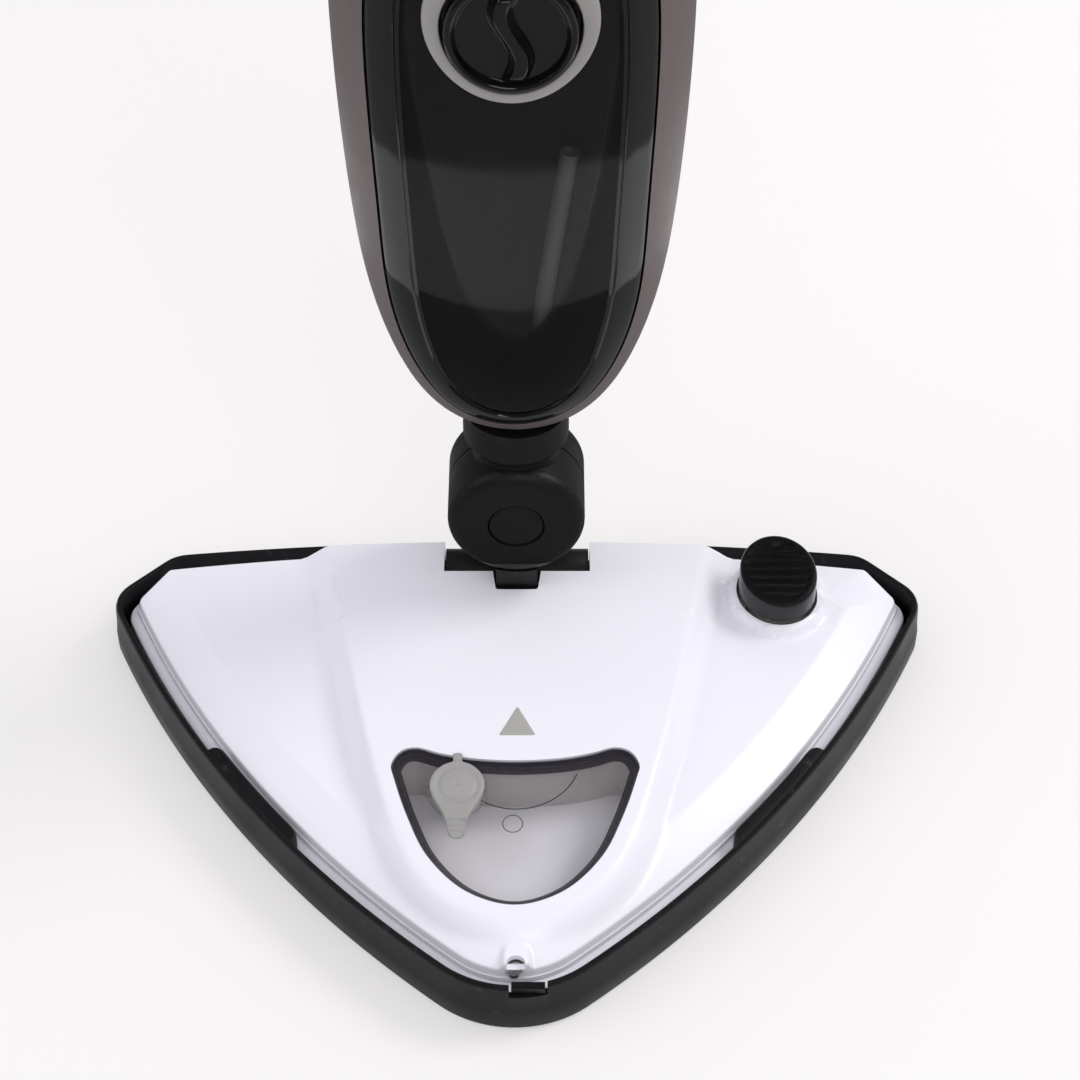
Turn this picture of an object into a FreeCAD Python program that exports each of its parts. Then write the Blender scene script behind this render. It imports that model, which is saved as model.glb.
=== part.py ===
"""Upright steam mop: carpet glider, triangular steam head, two-way swivel, boiler unit, pole and grip.

Millimetres, +Z up, +X to the right, +Y to the rear. The origin is on the floor, straight under the
hinge that joins the swivel to the head.
"""
import FreeCAD, Part
import math
import os

Vec = FreeCAD.Vector
os.makedirs("parts", exist_ok=True)

# ---- carpet glider and head outline, seen from above
head_width = 300.0           # over the glider's corners
nose_reach = 189.5           # hinge axis to the glider's nose tip
rear_reach = 19.0            # hinge axis to the middle of the glider's rear edge
rear_crown = 4.0             # how far the rear edge bows
corner_cut = 26.0            # width of the cut-off rear corners
corner_radius = 14.0
side_radius = 430.0
nose_radius = 40.0

glider_wall = 3.0
rim_height = 21.0
lip_thickness = 3.0          # ledge that the sole plate stands on
lip_width = 24.0
clip_length = 51.0
clip_centre = (93.5, -106.5)
clip_angle = 50.5            # degrees from the X axis
catch_width = 12.7
catch_offset = 4.6           # the nose catch sits a little to the right
catch_depth = 8.0

# ---- head
fit_gap = 1.0                # glider wall to sole plate
seat_gap = 0.5               # between parts that lift out of each other
sole_skirt = 3.0
sole_floor = 2.5
sole_wall = 8.0
flange_height = 10.0         # sole plate's foot to its flange top
flange_width = 4.0
cover_wall = 2.2
cover_side = 5.0             # upright side of the cover above the flange
facet_rise = 4.5
facet_width = 16.0
hump_rear = (30.0, 80.0, 70.0)      # height, half width at the foot, half width on top
hump_slot = (32.0, 76.0, 68.0)
hump_middle = (34.0, 62.0, 55.0)
hump_window = (33.3, 55.0, 48.5)
hump_front = (25.5, 27.0, 19.0)
steam_hole_radius = 1.5
screw_radius = 1.5
screw_head_radius = 3.0

window_top_y = -98.0
window_bottom_y = -158.0
window_half_top = 44.0
window_half_bottom = 24.0
window_top_z = 33.0
window_slope = 0.115
tank_wall = 2.0
window_gap = 0.3
plug_centre = (-19.9, -112.3)
plug_radius = 9.5
plug_thickness = 2.2
plug_neck_radius = 6.2
plug_gap = 0.3

pump_centre = (96.0, -15.2)
button_length = 32.0
button_width = 28.0
button_turn = -13.0          # degrees, the long axis leans to the right towards the front
button_foot_z = 28.0
button_rear_z = 42.1
button_front_z = 36.9
button_wall = 2.5
button_travel = 7.0
button_ceiling = button_front_z - 4.5
piston_radius = 8.4
running_gap = 0.05
cylinder_wall = 2.5
spring_wire = 0.8
spring_turns = 4.5
spring_height = 12.0

# ---- swivel
hinge_z = 24.5
axle_radius = 7.3
axle_half = 26.5
journal_radius = 3.0
journal_length = 12.0
hinge_block_wall = 1.1
stem_width = 15.0
stem_front = 17.0
stem_rear = 11.5
knuckle_z = 65.0
knuckle_radius = 24.7
knuckle_half = 19.0
ring_front = 3.0
ring_thickness = 8.5
joint_gap = 0.3
pin_radius = 5.0
cap_radius = 9.8
cap_depth = 2.0
pivot_head_radius = 7.0
barrel_round = 5.0
neck_radius = 15.6
collar_radius = 18.8
collar_foot_z = 95.5
collar_height = 12.5
collar_floor = 2.0
seal_wire = 0.8
seal_core = 6.4
plug_tube_radius = 8.0       # tube of the neck that the unit is pushed on
plug_tube_length = 20.0
steam_bore = 3.3

# ---- boiler unit: the body that carries the water tank
unit_height = 337.0
unit_half_width = 56.6
unit_front = 41.0
unit_rear = 47.0
unit_wall = 2.4
# share of the height, of the half width, of the front depth and of the rear depth
unit_sections = [(0.0, 0.32, 0.34, 0.40), (0.035, 0.55, 0.62, 0.55), (0.09, 0.72, 0.86, 0.69),
                 (0.17, 0.86, 0.96, 0.84), (0.29, 0.952, 0.99, 0.95), (0.45, 1.0, 1.0, 1.0),
                 (0.60, 0.985, 1.0, 1.0), (0.74, 0.87, 0.93, 0.93), (0.88, 0.60, 0.68, 0.70),
                 (1.0, 0.335, 0.46, 0.40)]
water_tank_foot = 15.0       # above the unit's foot
water_tank_height = 227.0
water_tank_half = 44.8
# share of the tank's height and of its half width
tank_profile = [(0.0, 0.0), (0.045, 0.52), (0.15, 0.82), (0.38, 0.96), (0.64, 1.0), (0.82, 0.94),
                (0.94, 0.70), (1.0, 0.0)]
tank_back_gap = 0.5          # between the tank and the socket for the neck's tube
cap_height = 183.0           # filler cap above the unit's foot
filler_radius = 20.0
filler_neck = 16.0
cap_thickness = 5.0
boiler_radius = 22.0
boiler_length = 86.0
boiler_level = 0.1721        # of the unit's height, where the housing is wide enough for it
boiler_y = 14.5
plate_thickness = 3.0
gland_level = 0.638          # cord inlet, a share of the unit's height
gland_radius = 9.0
light_radius = 3.5
cord_hole_radius = 3.6

# ---- pole, grip and trigger
pole_radius = 12.5
pole_wall = 1.2
pole_length = 600.0
pole_socket = 46.0
latch_radius = 4.0
grip_length = 178.0
grip_lap = 34.0              # how far the grip reaches down over the pole
grip_half_width = 15.0
grip_half_depth = 18.5
trigger_width = 10.0
trigger_pivot_y = 9.0
rod_radius = 2.0
hook_height = 905.0
hook_reach = 24.0
hook_half_length = 30.0

sole_foot_z = lip_thickness
sole_floor_z = sole_foot_z + sole_skirt
tray_z = sole_floor_z + sole_floor
flange_z = sole_foot_z + flange_height
cover_inset = glider_wall + fit_gap + flange_width
wing_z = flange_z + cover_side + facet_rise
unit_z = collar_foot_z + collar_height
unit_top = unit_z + unit_height
pole_foot = unit_top - pole_socket
pole_top = pole_foot + pole_length
grip_foot = pole_top - grip_lap
barrel_split = ring_front + ring_thickness / 2
cap_z = unit_z + cap_height
cap_front = -unit_front - 1.0
socket_radius = plug_tube_radius + 2.5
tank_back_y = -(socket_radius + tank_back_gap)
latch_z = unit_top - 22
light_z = unit_z + 0.80 * unit_height
boss_places = [(24, unit_z + 34), (26, unit_z + 283)]      # y, z of the housing screws
gland_z = unit_z + gland_level * unit_height
fitting_x = 9.0
fitting_z = unit_z + water_tank_foot + 17
boiler_z = unit_z + boiler_level * unit_height
hose_pass = (34.0, 7.0)      # where the inlet hose goes up past the boiler
trigger_z = pole_top + 50
steam_holes = [(side * (8 + 13 * step), -36 - 8 * abs(step - 1.5)) for step in range(5) for side in (-1, 1)]
nose_screw_place = (0, -178.5)
base_screw_places = [(-118, -16), (118, -4), (-70, -92), (70, -92)]
base_screw_length = 12.0


def box(x0, x1, y0, y1, z0, z1):
    return Part.makeBox(x1 - x0, y1 - y0, z1 - z0, Vec(x0, y0, z0))


def rod(radius, start, end):
    start, end = Vec(*start), Vec(*end)
    return Part.makeCylinder(radius, (end - start).Length, start, end - start)


def tube(outer, inner, start, end):
    return rod(outer, start, end).cut(rod(inner, start, end))


def prism(wire, z0, z1):
    """The area inside a flat wire, from height z0 to z1."""
    placed = wire.copy()
    placed.translate(Vec(0, 0, z0 - wire.BoundBox.ZMin))
    return Part.Face(placed).extrude(Vec(0, 0, z1 - z0))


def turned(shape, degrees, point=(0, 0, 0), axis=(0, 0, 1)):
    copy = shape.copy()
    copy.rotate(Vec(*point), Vec(*axis), degrees)
    return copy


def moved(shape, x=0, y=0, z=0):
    copy = shape.copy()
    copy.translate(Vec(x, y, z))
    return copy


def mirrored(shape):
    return shape.mirror(Vec(0, 0, 0), Vec(1, 0, 0))


def fused(shapes):
    whole = shapes[0]
    for shape in shapes[1:]:
        whole = whole.fuse(shape)
    return whole.removeSplitter()


def hose(points, radius, bore=0.0):
    """A tube along straight runs that are joined by tangent arcs."""
    points = [Vec(*point) for point in points]
    edges, last = [], points[0]
    for before, corner, after in zip(points, points[1:], points[2:]):
        run = 0.45 * min((corner - before).Length, (after - corner).Length)
        into, out = (corner - before).normalize(), (after - corner).normalize()
        start, end = corner - into * run, corner + out * run
        turn = into.getAngle(out)
        bend = run / math.tan(turn / 2)
        inward = (out - into).normalize()
        middle = corner + inward * (bend / math.cos(turn / 2) - bend)
        edges += [Part.LineSegment(last, start).toShape(), Part.Arc(start, middle, end).toShape()]
        last = end
    edges.append(Part.LineSegment(last, points[-1]).toShape())
    path = Part.Wire(edges)

    def swept(size):
        circle = Part.makeCircle(size, points[0], points[1] - points[0])
        return path.makePipeShell([Part.Wire(circle)], True, False, 1)

    return swept(radius).cut(swept(bore)) if bore else swept(radius)


def screws(places, length, head_height=2.0):
    """Pan-head screws, each standing with its head's underside at the given place, shank down."""
    made = []
    for x, y, z in places:
        head = rod(screw_head_radius, (x, y, z), (x, y, z + head_height))
        made.append(head.fuse(rod(screw_radius, (x, y, z - length), (x, y, z))).removeSplitter())
    return Part.makeCompound(made)


# ---------------------------------------------------------------- outline shared by glider and head

def side_arc():
    """Centre of the long side's arc and the point where it runs into the nose."""
    corner = Vec(head_width / 2 + 2.5, rear_reach - rear_crown - corner_cut, 0)
    nose = Vec(0, nose_radius - nose_reach, 0)
    span = (corner - nose).Length
    reach = side_radius - nose_radius
    along = (span ** 2 + reach ** 2 - side_radius ** 2) / (2 * span)
    across = math.sqrt(reach ** 2 - along ** 2)
    unit = (corner - nose).normalize()
    centre = nose + unit * along + Vec(-unit.y, unit.x, 0) * across
    meeting = centre + (nose - centre).normalize() * side_radius
    return corner, centre, meeting


def sharp_outline():
    corner, centre, meeting = side_arc()
    rear = Vec(head_width / 2 + 2.5 - corner_cut, rear_reach - rear_crown, 0)
    halfway = ((corner + meeting) * 0.5 - centre).normalize() * side_radius + centre

    def left(point):
        return Vec(-point.x, point.y, 0)

    return Part.Wire([
        Part.Arc(left(rear), Vec(0, rear_reach, 0), rear).toShape(),
        Part.LineSegment(rear, corner).toShape(),
        Part.Arc(corner, halfway, meeting).toShape(),
        Part.Arc(meeting, Vec(0, -nose_reach, 0), left(meeting)).toShape(),
        Part.Arc(left(meeting), left(halfway), left(corner)).toShape(),
        Part.LineSegment(left(corner), left(rear)).toShape()])


outer_outline = sharp_outline().makeOffset2D(-corner_radius).makeOffset2D(corner_radius)


def outline(inset):
    return outer_outline.makeOffset2D(-inset) if inset else outer_outline


def clip_zone(grow, z0, z1):
    """Blocks over both long sides, where the glider's clips stand."""
    length, width = clip_length + 2 * grow, 40.0
    block = box(-length / 2, length / 2, -width / 2, width / 2, z0, z1)
    block = moved(turned(block, clip_angle), *clip_centre)
    return block.fuse(mirrored(block))


# ------------------------------------------------------------------------------------ carpet glider

def carpet_glider():
    ring = prism(outline(0), 0, rim_height)
    ring = ring.cut(prism(outline(glider_wall), lip_thickness, rim_height + 1))
    ring = ring.cut(prism(outline(lip_width), -1, rim_height))
    clips = prism(outline(glider_wall - 0.2), lip_thickness, rim_height - 0.5)
    clips = clips.cut(prism(outline(cover_inset - seat_gap / 2), 0, rim_height))
    clips = clips.common(clip_zone(0, 0, rim_height))
    half = knuckle_radius + 8
    lean_gap = box(-half, half, rear_reach - corner_radius, rear_reach + 5,
                   lip_thickness + 2, rim_height + 1)
    catch = box(catch_offset - catch_width / 2, catch_offset + catch_width / 2, -nose_reach - 5,
                -nose_reach + 12, rim_height - catch_depth, rim_height + 1)
    return ring.cut(lean_gap).fuse(clips).cut(catch).removeSplitter()


# --------------------------------------------------------------------------------------------- head



def sole_plate():
    edge = glider_wall + fit_gap
    plate = prism(outline(edge), sole_foot_z, flange_z)
    plate = plate.cut(prism(outline(edge + sole_wall), tray_z, flange_z + 1))
    plate = plate.cut(prism(outline(edge + sole_wall - 2), sole_foot_z - 1, sole_floor_z))
    notch = prism(outline(0), 0, flange_z + 1).cut(prism(outline(cover_inset), -1, flange_z + 2))
    plate = plate.cut(notch.common(clip_zone(seat_gap, 0, flange_z + 1)))
    for x, y in steam_holes:
        plate = plate.cut(rod(steam_hole_radius, (x, y, 0), (x, y, flange_z)))
    for x, y in base_screw_places + [nose_screw_place]:
        plate = plate.cut(rod(screw_radius, (x, y, 0), (x, y, flange_z + 1)))
    x, y = pump_centre
    return plate.cut(rod(5.0, (x, y, 0), (x, y, flange_z)))


def trapezoid(y, height, foot, top, inset, z0):
    height -= inset
    foot, top = foot - inset * 1.4, top - inset
    corners = [Vec(-foot, y, z0), Vec(foot, y, z0), Vec(foot, y, wing_z - 2 - inset), Vec(top, y, height),
               Vec(-top, y, height), Vec(-foot, y, wing_z - 2 - inset)]
    return Part.makePolygon(corners + corners[:1])


def hump(inset):
    """The raised middle of the cover, which narrows towards the window."""
    rear = rear_reach - cover_inset - inset - 0.5
    z0 = flange_z + 1
    stations = [(rear, hump_rear), (-9.0, hump_slot), (-75.0, hump_middle), (-104.0, hump_window),
                (window_bottom_y - 8 + inset, hump_front)]
    wires = [trapezoid(y, height, foot, top, inset, z0) for y, (height, foot, top) in stations]
    return Part.makeLoft(wires, True, True)


def cover_body(inset, z0):
    edge = cover_inset + inset
    side_top = flange_z + cover_side - inset * 0.6
    side = prism(outline(edge), z0, side_top)
    low, high = outline(edge), outline(edge + facet_width)
    low, high = moved(low, z=side_top), moved(high, z=side_top + facet_rise - inset * 0.4)
    facet = Part.makeLoft([low, high], True, True)
    return fused([side, facet, hump(inset)])


def window_prism(inset, z0, z1):
    """The D-shaped outline of the detergent tank."""
    slant = math.atan2(window_half_top - window_half_bottom, window_top_y - window_bottom_y)
    side = inset / math.cos(slant)
    top, low = window_half_top - side, window_half_bottom - side
    corners = [Vec(-top, window_top_y - inset, z0), Vec(top, window_top_y - inset, z0),
               Vec(low, window_bottom_y + inset, z0), Vec(-low, window_bottom_y + inset, z0)]
    solid = Part.Face(Part.makePolygon(corners + corners[:1])).extrude(Vec(0, 0, z1 - z0))
    upright = [edge for edge in solid.Edges if edge.BoundBox.ZLength > 0.5 * (z1 - z0)]
    rear = [edge for edge in upright if edge.BoundBox.YMin > (window_top_y + window_bottom_y) / 2]
    solid = solid.makeFillet(7.0 - inset * 0.8, rear)
    front = [edge for edge in solid.Edges if edge.BoundBox.ZLength > 0.5 * (z1 - z0)
             and edge.BoundBox.YMin < window_bottom_y + inset + 1 and edge.BoundBox.YLength < 0.1]
    return solid.makeFillet(23.0 - inset, front)


def above_window(lift):
    """All that is above the tank's sloping top."""
    span = 200.0
    wedge = box(-span, span, -span, span, 0, span)
    slope = math.degrees(math.atan(window_slope))
    return moved(turned(wedge, slope, axis=(1, 0, 0)), y=window_top_y, z=window_top_z + lift)


def oval(grow, z0, z1):
    """The foot button's outline in plan."""
    long_half, short_half = button_length / 2 + grow, button_width / 2 + grow
    curve = Part.Ellipse(Vec(0, long_half, z0), Vec(short_half, 0, z0), Vec(0, 0, z0))
    solid = Part.Face(Part.Wire(curve.toShape())).extrude(Vec(0, 0, z1 - z0))
    return moved(turned(solid, -button_turn), *pump_centre)


def top_cover():
    cover = cover_body(0, flange_z)
    collar = oval(4.5, flange_z + 2, button_foot_z - 1)
    cover = cover.fuse(collar).fuse(nose_boss()).cut(cover_body(cover_wall, flange_z - 1))
    rear = rear_reach + 5
    cover = cover.cut(box(-axle_half - seat_gap, axle_half + seat_gap,
                          -axle_radius - 1.5, rear, flange_z - 1, 60))
    slot_half = stem_width / 2 + seat_gap
    cover = cover.cut(box(-slot_half, slot_half, -stem_front - 1.5, rear, flange_z - 1, 60))
    cover = cover.cut(window_prism(-window_gap, flange_z, 60))
    cover = cover.cut(oval(0.8, flange_z - 1, 60))
    for x, y in base_screw_places:
        cover = cover.fuse(rod(4.0, (x, y, tray_z), (x, y, wing_z - 1)))
        cover = cover.cut(rod(screw_radius, (x, y, 0), (x, y, sole_floor_z + base_screw_length)))
    x, y = nose_screw_place
    cover = cover.cut(rod(screw_radius, (x, y, 0), (x, y, 60)))
    return cover.cut(rod(screw_head_radius + 0.3, (x, y, flange_z + 4), (x, y, 60))).removeSplitter()


def nose_boss():
    x, y = nose_screw_place
    post = rod(4.6, (x, y, flange_z), (x, y, flange_z + 5.5))
    return post.fuse(box(x - 4.6, x + 4.6, y, y + 8, flange_z, flange_z + 6))


def detergent_tank():
    tank = window_prism(0, tray_z, 60).cut(above_window(0))
    tank = tank.cut(window_prism(tank_wall, tray_z + tank_wall, 60).cut(above_window(-tank_wall)))
    x, y = plug_centre
    z = tray_z + 5
    tank = tank.fuse(tube(3.0, 1.6, (30, window_top_y - 1, z), (30, window_top_y + 6, z)))
    tank = tank.cut(rod(1.6, (30, window_top_y - 5, z), (30, window_top_y, z)))
    return tank.cut(rod(plug_neck_radius + plug_gap, (x, y, tray_z + 6), (x, y, 60))).removeSplitter()


def tank_top_z(y):
    return window_top_z + (y - window_top_y) * window_slope


def tank_plug():
    """Silicone plug with a pull tab, on a strap that bends at the tank's rear edge."""
    x, y = plug_centre
    z = tank_top_z(y) + plug_gap / 2
    disc = rod(plug_radius, (x, y, z), (x, y, z + plug_thickness))
    neck = Part.makeCone(plug_neck_radius - 1.0, plug_neck_radius, 4.5, Vec(x, y, z - 4.5))
    strap = box(x - 1.6, x + 1.6, y, window_top_y - 0.8, z, z + 1.6)
    tab = box(x - 3.4, x + 3.4, y - plug_radius - 7.5, y, z, z + 1.6)
    plug = fused([disc, neck, strap, tab])
    return turned(plug, math.degrees(math.atan(window_slope)), (x, y, z), (1, 0, 0))


def hook_strips():
    """Hook tape under the sole that holds the cleaning pad."""
    low = sole_floor_z - 1.6
    strips = [box(-85, -35, -14, -4, low, sole_floor_z), box(35, 85, -14, -4, low, sole_floor_z),
              box(-18, 18, -150, -138, low, sole_floor_z)]
    return Part.makeCompound(strips)


def steam_manifold():
    """Cap over the steam holes, with the inlet that the head's hose is pushed on."""
    half = 68
    block = box(-half, half, -70, -24, tray_z, tray_z + 4)
    block = block.cut(box(-half + 3, half - 3, -67, -27, tray_z - 1, tray_z + 2.5))
    inlet = tube(3.0, 1.5, (0, -27, tray_z + 3), (0, -27, tray_z + 9))
    block = block.fuse(inlet).cut(rod(1.5, (0, -27, tray_z + 1), (0, -27, tray_z + 8)))
    return block.removeSplitter()


def head_hose():
    z = tray_z + 5
    path = [(0, -27, z), (0, -27, z + 6), (12, -22, z + 8), (30, -18, z + 5), (34, -10, z + 3)]
    return hose(path, 4.2, 3.0)


def hinge_blocks():
    """Bearing blocks for the ends of the cross axle."""
    made = []
    for side in (-1, 1):
        x0, x1 = sorted((side * (axle_half + 1.5), side * (axle_half + 1.5 + journal_length - 1.5)))
        block = box(x0, x1, -8, 6.4, tray_z, hinge_z)
        outer = journal_radius + running_gap + hinge_block_wall
        block = block.fuse(rod(outer, (x0, 0, hinge_z), (x1, 0, hinge_z)))
        block = block.cut(rod(journal_radius + running_gap, (x0 - 1, 0, hinge_z), (x1 + 1, 0, hinge_z)))
        made.append(block)
    return Part.makeCompound(made)


def head_screws():
    x, y = nose_screw_place
    nose = screws([(x, y, flange_z + 4)], 8.0, 1.6)
    upright = screws([(x, y, sole_floor_z) for x, y in base_screw_places], base_screw_length, 1.6)
    below = [turned(screw, 180, (x, y, sole_floor_z), (1, 0, 0))
             for (x, y), screw in zip(base_screw_places, upright.Solids)]
    return Part.makeCompound(nose.Solids + below)


def pump_cylinder():
    x, y = pump_centre
    top = button_ceiling - button_travel - 0.5
    outer = piston_radius + running_gap + cylinder_wall
    barrel = rod(outer, (x, y, tray_z), (x, y, top))
    barrel = barrel.cut(rod(piston_radius + running_gap, (x, y, tray_z + 2), (x, y, top + 1)))
    front, z = y - outer, tray_z + 5
    side = rod(3.0, (x, front - 6, z), (x, front + 1, z))
    return barrel.fuse(side).cut(rod(1.6, (x, front - 7, z), (x, y, z))).removeSplitter()


def pump_hose():
    x, y = pump_centre
    end = y - piston_radius - cylinder_wall - 2
    z = tray_z + 5
    path = [(30, window_top_y + 2, z), (30, window_top_y + 16, z), (58, -79, z + 1.5),
            (84, -69, z + 1.5), (x, end - 18, z), (x, end, z)]
    return hose(path, 4.0, 3.0)


def spray_nozzle():
    x, y = pump_centre
    nozzle = rod(5.0, (x, y, sole_floor_z - 1.5), (x, y, tray_z))
    return nozzle.cut(rod(1.2, (x, y, 0), (x, y, tray_z + 1)))


def foot_button():
    """Hollow oval cap with a sloping, grooved top for the toe."""
    cap = oval(0, button_foot_z, button_rear_z + 2)
    slope = math.degrees(math.atan2(button_rear_z - button_front_z, button_length))
    x, y = pump_centre
    middle = (button_rear_z + button_front_z) / 2
    above = moved(turned(box(-40, 40, -40, 40, 0, 40), slope, axis=(1, 0, 0)), x, y, middle)
    cap = cap.cut(turned(above, -button_turn, (x, y, 0)))
    cap = cap.cut(oval(-button_wall, button_foot_z - 1, button_ceiling))
    for step in range(-3, 4):
        groove = moved(box(-20, 20, -0.6, 0.6, -1.2, 3), y=step * 3.8)
        groove = moved(turned(groove, slope, axis=(1, 0, 0)), x, y, middle)
        cap = cap.cut(turned(groove, -button_turn, (x, y, 0)))
    return cap


def pump_piston():
    x, y = pump_centre
    foot = tray_z + 2 + spring_height
    return rod(piston_radius, (x, y, foot), (x, y, button_ceiling))


def coil(centre, z0, height, radius, turns):
    """A coil spring standing at z0, open coiled."""
    pitch = (height - 2 * spring_wire) / turns
    path = Part.makeHelix(pitch, pitch * turns, radius)
    circle = Part.makeCircle(spring_wire, Vec(radius, 0, 0), Vec(0, 1, 0))
    solid = Part.Wire(path.Edges).makePipeShell([Part.Wire(circle)], True, True)
    return moved(solid, centre[0], centre[1], z0 + spring_wire)


def pump_spring():
    return coil(pump_centre, tray_z + 2.1, spring_height - 0.2, piston_radius - 2.2, spring_turns)


# ------------------------------------------------------------------------------------------- swivel

def swivel_stem():
    """Cross axle, stem and the middle ring of the knuckle in one casting."""
    axle = rod(axle_radius, (-axle_half, 0, hinge_z), (axle_half, 0, hinge_z))
    reach = axle_half + journal_length
    journals = rod(journal_radius, (-reach, 0, hinge_z), (reach, 0, hinge_z))
    half = stem_width / 2
    stem = box(-half, half, -stem_front, stem_rear, hinge_z - 3, knuckle_z - knuckle_radius + 6)
    stem = stem.cut(rod(knuckle_radius + joint_gap, (0, -60, knuckle_z), (0, 60, knuckle_z)))
    ring = rod(knuckle_radius, (0, ring_front, knuckle_z), (0, ring_front + ring_thickness, knuckle_z))
    web = box(-half, half, ring_front, ring_front + ring_thickness, hinge_z, knuckle_z - 14)
    whole = fused([axle, journals, stem, web, ring])
    whole = whole.cut(rod(pin_radius + running_gap, (0, -60, knuckle_z), (0, 60, knuckle_z)))
    mouth = ring_front + ring_thickness / 2
    return whole.cut(rod(2.5, (0, mouth, hinge_z - 8), (0, mouth, knuckle_z + 40))).removeSplitter()


def stem_hose():
    """Inner steam tube of the stem, up to the pin."""
    y = ring_front + ring_thickness / 2
    return tube(2.5, 1.4, (0, y, hinge_z - 1), (0, y, knuckle_z - pin_radius - 1))


def knuckle():
    """Both barrel halves and the neck, before they are split."""
    ends = rod(knuckle_radius, (0, -knuckle_half, knuckle_z), (0, knuckle_half, knuckle_z))
    rims = [edge for edge in ends.Edges if len(edge.Vertexes) == 1 and edge.BoundBox.YLength < 0.1]
    ends = ends.makeFillet(barrel_round, rims)
    whole = ends.fuse(rod(neck_radius, (0, 0, knuckle_z), (0, 0, unit_z - collar_floor)))
    room = rod(knuckle_radius + joint_gap, (0, ring_front - joint_gap, knuckle_z),
               (0, ring_front + ring_thickness + joint_gap, knuckle_z))
    whole = whole.cut(rod(steam_bore, (0, 0, knuckle_z + 6), (0, 0, unit_z))).cut(room)
    return whole.cut(rod(pin_radius, (0, -60, knuckle_z), (0, 60, knuckle_z)))


whole_knuckle = knuckle()


def front_barrel():
    front = whole_knuckle.common(box(-60, 60, -60, barrel_split, 0, unit_z))
    return front.cut(rod(cap_radius, (0, -60, knuckle_z), (0, -knuckle_half + cap_depth, knuckle_z)))


def rear_barrel():
    rear = whole_knuckle.common(box(-60, 60, barrel_split, 60, 0, unit_z))
    return rear.cut(rod(pivot_head_radius, (0, knuckle_half - cap_depth, knuckle_z), (0, 60, knuckle_z)))


def pivot_pin():
    reach = knuckle_half - cap_depth
    pin = rod(pin_radius, (0, -reach, knuckle_z), (0, reach, knuckle_z))
    return pin.cut(rod(screw_radius, (0, 0, knuckle_z), (0, 60, knuckle_z)))


def pivot_cap():
    start = -knuckle_half + cap_depth
    return rod(cap_radius - 0.1, (0, start, knuckle_z), (0, start - cap_depth + 0.2, knuckle_z))


def pivot_screw():
    """Screw with a wide head that holds the pin in the rear barrel."""
    seat = knuckle_half - cap_depth
    head = rod(pivot_head_radius - 0.1, (0, seat, knuckle_z), (0, seat + cap_depth - 0.2, knuckle_z))
    return head.fuse(rod(screw_radius, (0, 4, knuckle_z), (0, seat, knuckle_z))).removeSplitter()


def neck_collar():
    """Latch collar of the neck, with the tube that the unit is pushed on."""
    cone = Part.makeCone(neck_radius + 0.6, collar_radius, 4.0, Vec(0, 0, collar_foot_z - 4))
    collar = cone.fuse(rod(collar_radius, (0, 0, collar_foot_z), (0, 0, unit_z)))
    collar = collar.cut(rod(neck_radius, (0, 0, 0), (0, 0, unit_z - collar_floor)))
    collar = collar.cut(rod(knuckle_radius, (0, -knuckle_half, knuckle_z), (0, knuckle_half, knuckle_z)))
    plug_tube = rod(plug_tube_radius, (0, 0, unit_z - collar_floor), (0, 0, unit_z + plug_tube_length))
    collar = collar.fuse(plug_tube)
    for side in (-1, 1):
        x0, x1 = sorted((side * (collar_radius - 1.2), side * (collar_radius + 2)))
        collar = collar.cut(box(x0, x1, -3, 3, collar_foot_z + 4, unit_z - 3))
    seal_z = unit_z + plug_tube_length - 6
    groove = tube(plug_tube_radius + 1, seal_core, (0, 0, seal_z - seal_wire), (0, 0, seal_z + seal_wire))
    return collar.cut(groove).cut(rod(steam_bore, (0, 0, 0), (0, 0, 200))).removeSplitter()


def neck_seal():
    """Rubber ring in the groove of the neck's tube."""
    return Part.makeTorus(seal_core + seal_wire, seal_wire, Vec(0, 0, unit_z + plug_tube_length - 6))


# ------------------------------------------------------------------------------- unit body and tank

def section(z, half, front, rear):
    """One cross-section of the unit: rounder at the rear, as wide as the housing in the middle."""
    points = []
    for step in range(12):
        angle = math.radians(30 * step)
        depth = rear if math.sin(angle) > 0 else front
        points.append(Vec(half * math.cos(angle), depth * math.sin(angle), z))
    curve = Part.BSplineCurve()
    curve.interpolate(Points=points, PeriodicFlag=True)
    return Part.Wire(curve.toShape())


def unit_solid(inset):
    wires = []
    for height, half, front, rear in unit_sections:
        lift = inset * (1 if height == 0 else -1 if height == 1 else 0)
        wires.append(section(unit_z + height * unit_height + lift, half * unit_half_width - inset,
                             front * unit_front - inset, rear * unit_rear - inset))
    return Part.makeLoft(wires, True)


def tank_prism(inset, y0, y1):
    """The egg-shaped front outline of the water tank, through the unit from y0 to y1."""
    foot = unit_z + water_tank_foot + inset
    height = water_tank_height - 2 * inset
    half = water_tank_half - inset
    right = [Vec(half * share, 0, foot + height * level) for level, share in tank_profile]
    left = [Vec(-point.x, 0, point.z) for point in reversed(right[1:-1])]
    curve = Part.BSplineCurve()
    curve.interpolate(Points=right + left, PeriodicFlag=True)
    face = Part.Face(Part.Wire(curve.toShape()))
    face.translate(Vec(0, y0, 0))
    return face.extrude(Vec(0, y1 - y0, 0))


unit_outer = unit_solid(0)
unit_inner = unit_solid(unit_wall)


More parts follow.
